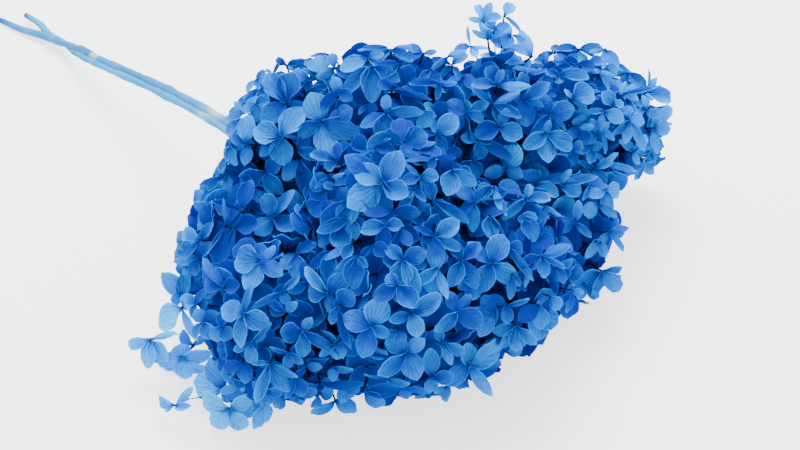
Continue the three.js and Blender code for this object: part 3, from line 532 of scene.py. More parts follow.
class HydrangeaFlorets(bpy.types.PropertyGroup):
    """Sizes and colours of the florets"""

    width: bpy.props.FloatProperty(
        name="Floret width", description="Width of a usual floret across its sepals",
        default=17.5 * MM, unit="LENGTH")
    spread: bpy.props.FloatProperty(
        name="Width spread", description="How far a floret's width strays from the usual one",
        default=0.2, subtype="FACTOR")
    thickness: bpy.props.FloatProperty(
        name="Sepal thickness", description="Thickness of a sepal as a share of its length",
        default=0.028, subtype="FACTOR")
    unrest: bpy.props.FloatProperty(
        name="Unrest", description="How far florets turn away from straight outwards",
        default=0.72, subtype="FACTOR")
    blue: colour_setting("Blue", "Usual colour of a sepal", (0.007, 0.046, 0.35))
    # Pale blue also paints the light on lit sepals and the highlight on their rims; deep blue also
    # paints the shade at a sepal's foot and deep inside the head
    pale: colour_setting("Pale blue", "Colour of the palest sepals", (0.006, 0.37, 1.0))
    deep: colour_setting("Deep blue", "Colour of the veins and of a sepal's foot", (0.005, 0.021, 0.2))
    loose: colour_setting("Loose blue", "Usual colour of a loose spray's sepal", (0.003, 0.21, 0.8))
    palest: colour_setting("Palest blue", "Colour of a loose spray's palest sepals", (0.012, 0.58, 1.0))
    eye: colour_setting("Eye", "Colour of the closed bud at a floret's middle", (0.001, 0.004, 0.04))
    stalk: colour_setting("Stalk", "Colour of the thin stalks and branchlets", (0.003, 0.004, 0.02))


class HydrangeaStem(bpy.types.PropertyGroup):
    """Sizes and colours of the stem"""

    shoot_radius: bpy.props.FloatProperty(
        name="Shoot radius", description="Radius of each of the two shoots",
        default=1.95 * MM, unit="LENGTH")
    upper: colour_setting("Upper shoot", "Dyed colour of the upper shoot", (0.01, 0.15, 0.38))
    lower: colour_setting("Lower shoot", "Dyed colour of the lower shoot", (0.01, 0.21, 0.42))
    bare: colour_setting(
        "Bare bark", "Colour of the bark where the dye has not taken", (0.42, 0.49, 0.34))


class HydrangeaStage(bpy.types.PropertyGroup):
    """Floor and light"""

    floor: colour_setting("Floor", "Colour of the plain floor", (0.5, 0.505, 0.5))
    glow: bpy.props.FloatProperty(
        name="Floor glow", description="How strongly the floor is lit from below", default=1.85)
    key_power: bpy.props.FloatProperty(
        name="Key light", description="Power of the large soft light", default=52, unit="POWER")
    sky: bpy.props.FloatProperty(
        name="Sky", description="Strength of the even light all round", default=2.75)


# Shader maths

class Paint:
    """A material under construction, with one method that adds any node."""

    def __init__(self, name):
        self.material = bpy.data.materials.new(name)
        self.material.use_nodes = True
        self.tree = self.material.node_tree
        self.tree.nodes.clear()

    def node(self, kind, settings=None, inputs=None):
        """Adds a node, makes its settings, then fills its sockets with values or links."""
        added = self.tree.nodes.new(kind)
        for name, value in (settings or {}).items():
            setattr(added, name, value)
        for key, value in (inputs or {}).items():
            if isinstance(value, Wire):
                self.tree.links.new(value.socket, added.inputs[key])
            else:
                added.inputs[key].default_value = value
        return added

    def wire(self, kind, settings=None, inputs=None, output=0):
        return Wire(self, self.node(kind, settings, inputs).outputs[output])

    def mix(self, share, first, second):
        """A colour between two colours, which are values or wires."""
        wires = {6: colour_value(first), 7: colour_value(second), 0: share}
        settings = {"data_type": "RGBA", "clamp_factor": True}
        return self.wire("ShaderNodeMix", settings, wires, output=2)

    def attribute(self, name):
        return self.wire("ShaderNodeAttribute", {"attribute_name": name}, output="Fac")

    def noise(self, place, scale, detail=2.0):
        inputs = {"Vector": place, "Scale": scale, "Detail": detail}
        return self.wire("ShaderNodeTexNoise", inputs=inputs)

    def finish(self, shader):
        self.node("ShaderNodeOutputMaterial", inputs={"Surface": shader})
        return self.material


class Wire:
    """An output socket, on which Python's maths works."""

    def __init__(self, paint, socket):
        self.paint = paint
        self.socket = socket

    def math(self, operation, *values, clamp=False):
        settings = {"operation": operation, "use_clamp": clamp}
        return self.paint.wire("ShaderNodeMath", settings, dict(enumerate(values)))

    def __add__(self, other):
        return self.math("ADD", self, other)

    def __sub__(self, other):
        return self.math("SUBTRACT", self, other)

    def __rsub__(self, other):
        return self.math("SUBTRACT", other, self)

    def __mul__(self, other):
        return self.math("MULTIPLY", self, other)

    def __truediv__(self, other):
        return self.math("DIVIDE", self, other)

    __radd__ = __add__
    __rmul__ = __mul__

    def clamped(self):
        return self.math("ADD", self, 0, clamp=True)

    def rise(self, low, high):
        """0 below low, 1 above high, and smooth between them."""
        settings = {"interpolation_type": "SMOOTHSTEP"}
        inputs = {"Value": self, "From Min": low, "From Max": high}
        return self.paint.wire("ShaderNodeMapRange", settings, inputs)


def colour_value(colour):
    return colour if isinstance(colour, Wire) else (*colour, 1)


# Materials

# Veins fan out from a pole just behind a sepal's foot, with a fine net between them
VEIN_POLE = 0.14
MAIN_VEINS = 4.6
SIDE_VEINS = 11.0
VEIN_WANDER = 0.3
VEIN_WIDTHS = (0.002, 0.016)
MAIN_STRENGTH = 0.8
MAIN_FADING = 0.35
SIDE_STRENGTH = 0.35
NET_STRENGTH = 0.16

# How pale a spot is, with painted light towards its tip; how fast painted shade turns it deep, at its
# foot too; and how strong the painted highlight on its rim is
TINT_SHARE = 0.55
SHADE_SHARE = 0.3
MOTTLE_SHARE = 0.6
TIP_LIGHT_SHARE = 0.45
TONE_DROP = 0.85
DEEP_PACE = -1.2
FOOT_SHADE_STRENGTH = 0.9
RIM_HIGHLIGHT_PACE = 0.4
RIM_HIGHLIGHT_LEAST = 0.28

# Relief, and shifts that give each sepal its own patch of noise
MOTTLE_RELIEF = 0.9
VEIN_RELIEF = 0.4
PATCH_SHIFTS = (31, 7, 17)
UV_MIDDLE = 0.5

# Light that shines through, and the colours and strengths of the other materials' marks, the eye's
# painted glints among them
SHINE_THROUGH = 0.35
DENSE_SHINE = (0.004, 0.085, 0.62)
LOOSE_SHINE = (0.005, 0.42, 1.0)
EYE_GLINT = (0.01, 0.06, 0.25)
STALK_MOTTLE = (0.01, 0.008, 0.04)
BARK_STREAK = (0.004, 0.08, 0.26)
BARK_CLOUD = (0.06, 0.34, 0.56)
BARK_STAIN = (0.01, 0.035, 0.1)
BARK_GRAIN = (35, 900, 900)
STREAK_STRENGTH = 0.45
CLOUD_STRENGTH = 0.35
STAIN_STRENGTH = 1.6
BARE_STRENGTH = 1.8


def sepal_material(name, usual, pale, deep, through):
    """Thin dyed sepals: veins fan out from the foot and fork; painted shade darkens the foot and a
    painted highlight makes the rim pale.

    Light from behind shines through in the colour given as through. The tone says how pale a spot is,
    from its own random tone, painted light towards the tip and the painted light and shade each floret
    carries: below 0 it turns to the deep colour, above 0 to the pale one.
    """
    paint = Paint(name)
    uv = paint.wire("ShaderNodeTexCoord", output="UV")
    parts = paint.node("ShaderNodeSeparateXYZ", inputs={0: uv})
    across = Wire(paint, parts.outputs[0]) - UV_MIDDLE
    along = Wire(paint, parts.outputs[1])
    rim = paint.attribute("rim").rise(low=0.8, high=1.0)
    shade = paint.attribute("shade")
    tint = paint.attribute("tint")
    painted_light_and_tone = paint.attribute("painted_light_and_tone")
    spot = paint.wire("ShaderNodeCombineXYZ", inputs={
        0: across + tint * PATCH_SHIFTS[0],
        1: along + shade * PATCH_SHIFTS[1],
        2: tint * PATCH_SHIFTS[2]})
    wander = paint.noise(spot, scale=4.0)
    angle = across.math("ARCTAN2", across, along + VEIN_POLE) + (wander - 0.5) * VEIN_WANDER
    main = vein_lines(angle * MAIN_VEINS, along / MAIN_VEINS)
    side = vein_lines(angle * SIDE_VEINS, along / SIDE_VEINS) * along.rise(low=0.3, high=0.6)
    net_edge = paint.wire(
        "ShaderNodeTexVoronoi", {"feature": "DISTANCE_TO_EDGE"},
        {"Vector": spot, "Scale": 9.0, "Randomness": 1.0}, output="Distance")
    net = 1 - net_edge.rise(low=0.0, high=0.07)
    vein = (
        main * (MAIN_STRENGTH - along * MAIN_FADING) + side * SIDE_STRENGTH + net * NET_STRENGTH)
    mottle = paint.noise(spot, scale=2.4, detail=3.0)
    # The sepal's own random tone, with painted light towards the tip and the painted light and shade
    # carried by its floret
    tone = (
        tint * TINT_SHARE + shade * SHADE_SHARE + mottle * MOTTLE_SHARE - TONE_DROP
        + along * TIP_LIGHT_SHARE + painted_light_and_tone)
    lit = paint.mix(tone.clamped(), usual, pale)
    body = paint.mix((tone * DEEP_PACE).clamped(), lit, deep)
    veined = paint.mix((vein * (1 - rim)).clamped(), body, deep)
    # Painted shade at the sepal's foot
    foot_shaded = paint.mix((1 - along.rise(low=0.0, high=0.3)) * FOOT_SHADE_STRENGTH, veined, deep)
    # Painted highlight along the rim, stronger on paler spots
    rim_highlighted = paint.mix(rim * (tone * RIM_HIGHLIGHT_PACE + RIM_HIGHLIGHT_LEAST).clamped(), foot_shaded, pale)
    bump = paint.wire("ShaderNodeBump", inputs={
        "Strength": 0.35, "Distance": 0.0003,
        "Height": mottle * MOTTLE_RELIEF - vein * VEIN_RELIEF})
    surface = paint.wire("ShaderNodeBsdfPrincipled", inputs={
        "Base Color": rim_highlighted, "Roughness": 0.7, "Normal": bump, "Specular IOR Level": 0.0})
    behind = paint.wire("ShaderNodeBsdfTranslucent", inputs={"Color": (*through, 1)})
    both = paint.wire("ShaderNodeMixShader", inputs={0: SHINE_THROUGH, 1: surface, 2: behind})
    return paint.finish(both)


def vein_lines(lanes, spacing):
    """Thin lines along the middles of lanes that are this far apart."""
    off = lanes.math("FRACT", lanes) - 0.5
    return 1 - (off.math("ABSOLUTE", off) * spacing).rise(*VEIN_WIDTHS)


def matt_surface(paint, colour):
    return paint.wire("ShaderNodeBsdfPrincipled", inputs={
        "Base Color": colour, "Roughness": 0.85, "Specular IOR Level": 0.1})


def eye_material(look):
    """The closed bud at a floret's middle: dark, with a few painted glints."""
    paint = Paint("eye")
    place = paint.wire("ShaderNodeTexCoord", output="Object")
    # Painted glints on the eye
    glint = paint.noise(place, scale=2200.0)
    colour = paint.mix(glint.rise(low=0.62, high=0.75), look.eye, EYE_GLINT)
    return paint.finish(matt_surface(paint, colour))


def stalk_material(look):
    """Thin stalks: dark purple blue, mottled with the dye."""
    paint = Paint("stalk")
    place = paint.wire("ShaderNodeTexCoord", output="Object")
    mottle = paint.noise(place, scale=260.0)
    colour = paint.mix(mottle.rise(low=0.35, high=0.7), look.stalk, STALK_MOTTLE)
    return paint.finish(matt_surface(paint, colour))


def stem_material(look):
    """Matt bark, streaked lengthways, dyed unevenly, and bare in patches."""
    paint = Paint("stem_bark")
    place = paint.wire("ShaderNodeTexCoord", output="Object")
    drawn = paint.wire("ShaderNodeMapping", inputs={"Vector": place, "Scale": BARK_GRAIN})
    streak = paint.noise(drawn, scale=1.0, detail=4.0)
    cloud = paint.noise(place, scale=60.0, detail=3.0)
    dyed = paint.mix(paint.attribute("tint"), look.lower, look.upper)
    streaks = streak.rise(low=0.4, high=0.75) * STREAK_STRENGTH
    streaked = paint.mix(streaks, dyed, BARK_STREAK)
    clouds = cloud.rise(low=0.45, high=0.75) * CLOUD_STRENGTH
    clouded = paint.mix(clouds, streaked, BARK_CLOUD)
    stains = (paint.attribute("dark") * (cloud * STAIN_STRENGTH)).clamped()
    stained = paint.mix(stains, clouded, BARK_STAIN)
    patches = (paint.attribute("bare") * (cloud * BARE_STRENGTH)).clamped()
    patched = paint.mix(patches, stained, look.bare)
    bump = paint.wire("ShaderNodeBump", inputs={
        "Strength": 0.5, "Distance": 0.0004, "Height": streak})
    surface = paint.wire("ShaderNodeBsdfPrincipled", inputs={
        "Base Color": patched, "Roughness": 0.85, "Normal": bump, "Specular IOR Level": 0.08})
    return paint.finish(surface)


def floor_material(look):
    """A plain pale floor, evenly lit, with no pattern."""
    paint = Paint("floor")
    surface = paint.wire("ShaderNodeBsdfPrincipled", inputs={
        "Base Color": colour_value(look.floor), "Roughness": 0.9, "Specular IOR Level": 0.1,
        "Emission Color": (1, 1, 0.99, 1), "Emission Strength": look.glow})
    return paint.finish(surface)


# Mesh helpers

def at(point):
    """A place in metres from the origin."""
    return (Vector(point) + HEAD_ENTRY) * MM


def deselect():
    if bpy.context.object and bpy.context.object.mode != "OBJECT":
        bpy.ops.object.mode_set(mode="OBJECT")
    bpy.ops.object.select_all(action="DESELECT")


def select_points(piece, indices):
    """Selects these points of the piece in edit mode, and no others."""
    edit = bmesh.from_edit_mesh(piece.data)
    edit.verts.ensure_lookup_table()
    for vert in edit.verts:
        vert.select = False
    for index in indices:
        edit.verts[index].select = True
    edit.select_flush(True)
    bmesh.update_edit_mesh(piece.data)


def apply_modifiers(piece):
    for modifier in list(piece.modifiers):
        bpy.ops.object.modifier_apply(modifier=modifier.name)


def set_share(piece, name, value):
    """Gives every point of a piece the same value of an attribute."""
    data = piece.data.attributes.get(name) or piece.data.attributes.new(name, "FLOAT", "POINT")
    data.data.foreach_set("value", [value] * len(piece.data.vertices))


def join(pieces, name):
    """Joins pieces to one, which is named and has its object at the origin."""
    deselect()
    for piece in pieces:
        piece.select_set(True)
    bpy.context.view_layer.objects.active = pieces[0]
    if len(pieces) > 1:
        bpy.ops.object.join()
    joined = bpy.context.object
    joined.name = name
    joined.data.name = name
    bpy.ops.object.transform_apply(location=True, rotation=True, scale=True)
    return joined


def copy_of(piece, matrix):
    """A copy with its own mesh, moved by a matrix and linked to the scene."""
    copied = piece.copy()
    copied.data = piece.data.copy()
    copied.data.transform(matrix)
    bpy.context.scene.collection.objects.link(copied)
    return copied


def smooth_line(points, steps):
    """Points along a smooth line through the given ones."""
    ends = [2 * points[0] - points[1], *points, 2 * points[-1] - points[-2]]
    line = []
    for a, b, c, d in zip(ends, ends[1:], ends[2:], ends[3:]):
        for step in range(steps):
            t = step / steps
            line.append(0.5 * (
                2 * b + (c - a) * t + (2 * a - 5 * b + 4 * c - d) * t * t
                + (3 * b - a - 3 * c + d) * t ** 3))
    return [*line, points[-1]]


def tapered(radius, taper, count):
    """Radii along a line, which lose this share from its first point to its last."""
    return [radius * (1 - taper * k / (count - 1)) for k in range(count)]


def hump(value, middle, width):
    """1 where the value is at the middle, and less the further away it is."""
    return math.exp(-(((value - middle) / width) ** 2))


def tube(name, points, radii, sides):
    """A closed tube with a radius at each of its points, which are in metres."""
    bpy.ops.curve.primitive_nurbs_path_add()
    path = bpy.context.object
    curve = path.data
    curve.splines.clear()
    spline = curve.splines.new("POLY")
    spline.points.add(len(points) - 1)
    for target, point, radius in zip(spline.points, points, radii):
        target.co = (*point, 1)
        target.radius = radius
    curve.bevel_depth = 1
    curve.bevel_resolution = max(0, sides // 2 - 2)
    curve.use_fill_caps = True
    curve.dimensions = "3D"
    deselect()
    path.select_set(True)
    bpy.context.view_layer.objects.active = path
    bpy.ops.object.convert(target="MESH")
    piece = bpy.context.object
    piece.name = name
    bpy.ops.object.mode_set(mode="EDIT")
    bpy.ops.mesh.select_all(action="SELECT")
    bpy.ops.mesh.remove_doubles(threshold=1e-7)
    bpy.ops.mesh.normals_make_consistent(inside=False)
    bpy.ops.object.mode_set(mode="OBJECT")
    bpy.ops.object.shade_smooth_by_angle(angle=SMOOTH_ANGLE)
    return piece


# One sepal and one floret, modelled once for each of a few forms and then copied

# How the forms of a sepal of length 1 differ, from the first value to the second
FOOT_WIDTHS = (0.4, 0.65)
TIP_LENGTHS = (0.0, 0.09)
BREADTHS = (0.78, 1.0)
CURLS = (-0.3, 0.12)
CUPS = (-0.12, 0.3)
SKEWS = (-0.12, 0.12)
ROW_WAVES = (-0.025, 0.025)
COLUMN_WAVES = (-0.03, 0.03)

# How its grid is laid out and shaped
GRID_SHIFT = 0.58
GRID_LENGTH = 0.86
FOOT_PLACE = (0, -0.6, 0)
FOOT_REACH = 0.5
TIP_REACH = 0.36
SMOOTH_ANGLE = math.radians(50)

# A floret of radius 1: its eye, its stalk, and how its sepals differ
EYE_RADIUS = 0.06
EYE_HEIGHT = 0.05
STALK_WIDTHS = (0.05, 0.035)
STALK_LENGTH = 0.9
STALK_MIDDLE = -0.44
SEPAL_SIZES = (0.78, 1.0)
SEPAL_TURNS = (-0.16, 0.16)
SEPAL_LIFTS = (-0.2, 0.25)
SEPAL_ROLLS = (-0.25, 0.25)
SEPAL_OFFSET = 0.03
SEPAL_STEP = 0.035


class SepalForms(NamedTuple):
    """How many forms of a sepal there are, and the squares of its grid."""

    count: int
    across: int
    along: int


class FloretForms(NamedTuple):
    """How many forms of a floret there are, and how far their sepals may be raised."""

    count: int
    openness: tuple


SEPAL_FORMS = {"fine": SepalForms(9, 4, 5), "seen": SepalForms(10, 6, 5), "plain": SepalForms(4, 2, 3)}
FLORET_FORMS = {"fine": FloretForms(16, (-0.15, 0.75)), "plain": FloretForms(5, (0.05, 0.4))}


def grid_lines(piece, axis):
    """The points of a new grid in lines, from the lowest line to the highest."""
    lines = {}
    for vert in piece.data.vertices:
        lines.setdefault(round(vert.co[axis], 4), []).append(vert.index)
    return [lines[key] for key in sorted(lines)]


def model_sepal(name, across, along, draw, look, material):
    """A disc with a narrow foot and a small point, curled and cupped, of length 1 along +Y."""
    deselect()
    bpy.ops.mesh.primitive_grid_add(
        x_subdivisions=across, y_subdivisions=along, size=1, calc_uvs=True)
    piece = bpy.context.object
    piece.name = name
    columns = grid_lines(piece, 0)
    rows = grid_lines(piece, 1)
    border = {*columns[0], *columns[-1], *rows[0], *rows[-1]}
    inner = [vert.index for vert in piece.data.vertices if vert.index not in border]
    foot = rows[0][1:-1]
    tip = [rows[-1][len(rows[-1]) // 2]]
    bpy.ops.object.mode_set(mode="EDIT")
    select_points(piece, border)
    bpy.ops.transform.tosphere(value=1)
    select_points(piece, inner)
    bpy.ops.mesh.vertices_smooth(factor=0.5, repeat=3)
    select_points(piece, foot)
    bpy.ops.transform.resize(
        value=(draw.uniform(*FOOT_WIDTHS), 1, 1), center_override=FOOT_PLACE,
        use_proportional_edit=True, proportional_size=FOOT_REACH)
    select_points(piece, tip)
    bpy.ops.transform.translate(
        value=(0, draw.uniform(*TIP_LENGTHS), 0), use_proportional_edit=True,
        proportional_edit_falloff="SHARP", proportional_size=TIP_REACH)
    bpy.ops.mesh.select_all(action="SELECT")
    bpy.ops.transform.translate(value=(0, GRID_SHIFT, 0))
    breadth = draw.uniform(*BREADTHS)
    bpy.ops.transform.resize(value=(breadth, GRID_LENGTH, 1), center_override=(0, 0, 0))
    bpy.ops.object.mode_set(mode="OBJECT")
    mark_sepal(piece, border, draw.random())
    curl = draw.uniform(*CURLS)
    cup = draw.uniform(*CUPS)
    skew = draw.uniform(*SKEWS)
    bpy.ops.object.mode_set(mode="EDIT")
    for i, indices in enumerate(rows):
        share = i / (len(rows) - 1)
        select_points(piece, indices)
        bpy.ops.transform.translate(value=(0, 0, curl * share ** 2 + draw.uniform(*ROW_WAVES)))
    for i, indices in enumerate(columns):
        share = 2 * i / (len(columns) - 1) - 1
        select_points(piece, indices)
        rise = cup * share ** 2 + skew * share + draw.uniform(*COLUMN_WAVES)
        bpy.ops.transform.translate(value=(0, 0, rise))
    bpy.ops.mesh.select_all(action="SELECT")
    bpy.ops.mesh.normals_make_consistent(inside=False)
    bpy.ops.object.mode_set(mode="OBJECT")
    solidify = piece.modifiers.new("thickness", "SOLIDIFY")
    solidify.thickness = look.thickness
    solidify.offset = 0
    apply_modifiers(piece)
    bpy.ops.object.shade_smooth_by_angle(angle=SMOOTH_ANGLE)
    piece.data.materials.append(material)
    return piece


def mark_sepal(piece, border, shade):
    """Notes where the rim and the foot lie while the sepal is still flat, for its material."""
    mesh = piece.data
    for loop, corner in zip(mesh.loops, mesh.uv_layers.active.data):
        place = mesh.vertices[loop.vertex_index].co
        corner.uv = (place.x + UV_MIDDLE, place.y)
    rim = mesh.attributes.new("rim", "FLOAT", "POINT")
    for vert in mesh.vertices:
        rim.data[vert.index].value = 1.0 if vert.index in border else 0.0
    set_share(piece, "shade", shade)


def model_core(materials):
    """A small closed bud on a thin stalk, for a floret of radius 1."""
    deselect()
    bpy.ops.mesh.primitive_ico_sphere_add(
        subdivisions=1, radius=EYE_RADIUS, location=(0, 0, EYE_HEIGHT))
    eye = bpy.context.object
    eye.data.materials.append(materials["eye"])
    bpy.ops.object.shade_smooth()
    deselect()
    bpy.ops.mesh.primitive_cone_add(
        vertices=5, radius1=STALK_WIDTHS[0], radius2=STALK_WIDTHS[1], depth=STALK_LENGTH,
        location=(0, 0, STALK_MIDDLE))
    stalk = bpy.context.object
    stalk.data.materials.append(materials["stalk"])
    bpy.ops.object.shade_smooth()
    return join([eye, stalk], "core")


def model_floret(name, sepals, core, draw, openness):
    """Four sepals round a small closed bud, on a thin stalk. The floret has a radius of 1."""
    parts = [copy_of(core, Matrix.Identity(4))]
    for i in range(4):
        sepal = draw.choice(sepals)
        size = draw.uniform(*SEPAL_SIZES)
        turn = math.pi / 2 * i + draw.uniform(*SEPAL_TURNS)
        lift = openness + draw.uniform(*SEPAL_LIFTS)
        matrix = (
            Matrix.Rotation(turn, 4, "Z")
            @ Matrix.Translation((0, SEPAL_OFFSET, SEPAL_STEP * (i % 2)))
            @ Matrix.Rotation(lift, 4, "X")
            @ Matrix.Rotation(draw.uniform(*SEPAL_ROLLS), 4, "Y")
            @ Matrix.Scale(size, 4)
        )
        parts.append(copy_of(sepal, matrix))
    return join(parts, name)


def park(piece):
    """Puts a model aside: it stays in the file's data but not in the scene."""
    for collection in list(piece.users_collection):
        collection.objects.unlink(piece)
    return piece


def model_forms(look, materials):
    """The forms that are copied: fine and plain florets, single sepals, and a floret's core."""
    draw = random.Random(SEED)
    core = model_core(materials)
    sepals = {
        kind: [
            model_sepal(f"{kind}_sepal_{i}", form.across, form.along, draw, look, materials["sepal"])
            for i in range(form.count)]
        for kind, form in SEPAL_FORMS.items()}
    forms = {"sepals": sepals["seen"], "core": [core]}
    for kind, form in FLORET_FORMS.items():
        forms[kind] = [
            model_floret(
                f"{kind}_floret_{i}", sepals[kind], core, draw, draw.uniform(*form.openness))
            for i in range(form.count)]
        for sepal in sepals[kind]:
            bpy.data.objects.remove(sepal)
    for models in forms.values():
        for model in models:
            park(model)
    return forms


# Where the photo shows things

def ray_through(pixel):
    """The way from the camera through a pixel of the photo."""
    side = (pixel[0] - PHOTO_MIDDLE[0]) / FOCAL_PIXELS
    rise = (PHOTO_MIDDLE[1] - pixel[1]) / FOCAL_PIXELS
    return (AHEAD + RIGHT * side + UP * rise).normalized()


def pixel_of(place):
    """The pixel of the photo at which a place shows."""
    way = place - CAMERA_PLACE
    enlarged = FOCAL_PIXELS / way.dot(AHEAD)
    return Vector((
        PHOTO_MIDDLE[0] + way.dot(RIGHT) * enlarged, PHOTO_MIDDLE[1] - way.dot(UP) * enlarged))


def place_at_height(pixel, height):
    way = ray_through(pixel)
    return CAMERA_PLACE + way * ((height - CAMERA_PLACE.z) / way.z)


def place_on_head(pixel):
    """The dense spray that shows at a pixel, and the place on its outside."""
    way = ray_through(pixel)
    found = []
    for name, spray in DENSE_SPRAYS.items():
        towards = Vector(spray.middle) - CAMERA_PLACE
        along = towards.dot(way)
        miss = math.sqrt(towards.length_squared - along ** 2)
        near = along - math.sqrt(max(0, (spray.reach + SEEN_PROUD) ** 2 - miss ** 2))
        found.append((max(0, miss - spray.reach), near, name))
    _, near, name = min(found)
    return name, CAMERA_PLACE + way * near


def in_hollow(place, direction, layer):
    """Whether a place shows in a hollow that lacks this layer.

    A hollow that lacks all layers goes right through the head, others are on the viewer's side.
    """
    seen = pixel_of(place)
    return any(
        layer < hollow.layers
        and (hollow.layers == len(LAYERS) or direction.dot(AHEAD) < 0)
        and (seen - Vector(hollow.middle)).length < hollow.radius
        for hollow in HOLLOWS)


def inside_outline(place):
    """Whether a place shows well inside the head's outline."""
    seen = pixel_of(place)
    inside = False
    corners = [Vector(corner) for corner in HEAD_OUTLINE]
    for first, second in zip(corners, [*corners[1:], corners[0]]):
        share = intersect_point_line(seen, first, second)[1]
        nearest = first.lerp(second, min(1, max(0, share)))
        if (seen - nearest).length < OUTLINE_MARGIN:
            return False
        if (first.y > seen.y) != (second.y > seen.y):
            crossing = first.x + (seen.y - first.y) * (second.x - first.x) / (second.y - first.y)
            inside ^= crossing > seen.x
    return inside


# Sprays

def press_on_floor(piece):
    """Flattens what would lie under the floor or close above it, so that it rests there."""
    lowest = min(vert.co.z for vert in piece.data.vertices)
    if lowest >= FLOOR_GAP:
        return
    for vert in piece.data.vertices:
        if vert.co.z < FLOOR_SOFT:
            vert.co.z = FLOOR_GAP + (
                (vert.co.z - lowest) * (FLOOR_SOFT - FLOOR_GAP) / (FLOOR_SOFT - lowest))


def floret_at(form, place, facing, width, spin, tint, painted_light_and_tone):
    """A copy of a floret's form at a place in millimetres."""
    turn = Vector((0, 0, 1)).rotation_difference(Vector(facing).normalized())
    matrix = (
        Matrix.Translation(at(place))
        @ (turn @ Quaternion((0, 0, 1), spin)).to_matrix().to_4x4()
        @ Matrix.Diagonal((*[width / 2 * MM] * 3, 1))
    )
    copied = copy_of(form, matrix)
    press_on_floor(copied)
    set_share(copied, "tint", tint)
    set_share(copied, "painted_light_and_tone", painted_light_and_tone)
    return copied


def seen_facing(outward):
    """The way that a floret read from the photo faces: outwards, and towards the viewer."""
    return (outward * SEEN_OUTWARD - AHEAD).normalized()


def seen_sepal_lines(seen, place, facing):
    """For each sepal its way from the eye, its length and its breadth, in millimetres."""
    scale = (place - CAMERA_PLACE).dot(AHEAD) / FOCAL_PIXELS
    lines = []
    for u, v, breadth, *_ in seen.sepals:
        flat = (RIGHT * (u - seen.eye[0]) + UP * (seen.eye[1] - v)) * scale
        along = flat - AHEAD * (flat.dot(facing) / AHEAD.dot(facing))
        across = along.cross(facing).normalized()
        shown = math.hypot(across.dot(RIGHT), across.dot(UP))
        length = min(2 * along.length, LONGEST_SEPAL)
        lines.append((along.normalized(), length, breadth * scale / shown))
    return lines


def seen_floret(seen, place, outward, forms, draw):
    """A floret whose sepals lie where the photo shows them."""
    facing = seen_facing(outward)
    lines = seen_sepal_lines(seen, place, facing)
    pieces = []
    for i, (along, length, breadth) in enumerate(lines):
        form = draw.choice(forms["sepals"])
        across = along.cross(facing)
        own = [max(vert.co[axis] for vert in form.data.vertices) for axis in (0, 1)]
        matrix = (
            Matrix.Translation(at(place + facing * (SEPAL_SPACING * i)))
            @ Matrix((across, along, facing)).transposed().to_4x4()
            @ Matrix.Rotation(draw.uniform(*SEEN_ROLLS), 4, "Y")
            @ Matrix.Rotation(draw.uniform(*SEEN_LIFTS), 4, "X")
            @ Matrix.Diagonal((
                breadth / (2 * own[0]) * MM, length / own[1] * MM, (length + breadth) / 2 * MM, 1))
        )
        piece = copy_of(form, matrix)
        press_on_floor(piece)
        # A seen sepal's tone: partly its own colour, partly painted light and shade
        own_tone_and_light = sum(seen.sepals[i][3:])
        set_share(piece, "tint", draw.uniform(*SEEN_TINTS))
        set_share(piece, "painted_light_and_tone", seen.tone + own_tone_and_light)
        pieces.append(piece)
    size = sum(length for _, length, _ in lines) / len(lines)
    turn = Vector((0, 0, 1)).rotation_difference(facing).to_matrix().to_4x4()
    matrix = Matrix.Translation(at(place)) @ turn @ Matrix.Scale(size * MM, 4)
    core = copy_of(forms["core"][0], matrix)
    press_on_floor(core)
    return [*pieces, core]


def sort_head_florets():
    """The florets read from the photo, by the dense spray that carries each, and their places."""
    carried = {name: [] for name in DENSE_SPRAYS}
    covered = [
        place_at_height(seen.eye, seen.height)
        for spray in LOOSE_SPRAYS.values() for seen in spray.florets]
    for seen in HEAD_FLORETS:
        name, place = place_on_head(seen.eye)
        outward = (place - Vector(DENSE_SPRAYS[name].middle)).normalized()
        carried[name].append((seen, place, outward))
        covered.append(place)
        for along, length, _ in seen_sepal_lines(seen, place, seen_facing(outward)):
            covered.append(place + along * (length / 2))
    return carried, covered


def walls_of(name):
    """The walls that part a spray from its neighbours, each as a normal and its offset."""
    spray = DENSE_SPRAYS[name]
    middle = Vector(spray.middle)
    walls = []
    for other in DENSE_SPRAYS.values():
        if other is spray:
            continue
        normal = Vector(other.middle) - middle
        distance = normal.length
        normal.normalize()
        along = (distance ** 2 + spray.reach ** 2 - other.reach ** 2) / (2 * distance)
        walls.append((normal, normal.dot(middle) + along))
    return walls


def even_directions(count, draw):
    """Directions spread evenly all round by a spiral, in a random order."""
    golden = math.pi * (3 - math.sqrt(5))
    directions = []
    for i in range(count):
        height = 1 - (2 * i + 1) / count
        radius = math.sqrt(1 - height * height)
        angle = golden * i + draw.uniform(*SPIRAL_UNREST)
        directions.append(Vector((radius * math.cos(angle), radius * math.sin(angle), height)))
    draw.shuffle(directions)
    return directions


def spray_places(name, taken, covered, draw):
    """Places for a dense spray's other florets, layer by layer: (layer, place, way outwards)."""
    spray = DENSE_SPRAYS[name]
    walls = walls_of(name)
    count = round(4 * math.pi * spray.reach ** 2 / CANDIDATE_SPACING ** 2)
    places = []
    for index, layer in enumerate(LAYERS):
        for direction in even_directions(count, draw):
            outwards = spray.reach - layer.depth - draw.uniform(0, LAYER_UNREST)
            place = Vector(spray.middle) + direction * outwards
            if place.z < FLOOR_CLEARANCE:
                continue
            if any(place.dot(normal) - offset > layer.past for normal, offset in walls):
                continue
            if any((place - other).length < layer.apart for other in taken[index]):
                continue
            if in_hollow(place, direction, index) or not inside_outline(place):
                continue
            if index == 0:
                near = min((place - other).length for other in covered)
                if near < CLEAR_OF_SEEN:
                    continue
                if near < SINK_NEAR_SEEN:
                    place -= direction * SINK
            taken[index].append(place)
            places.append((index, place, direction))
    return places


def jitter(draw, size):
    return Vector([draw.uniform(-size, size) for _ in range(3)])


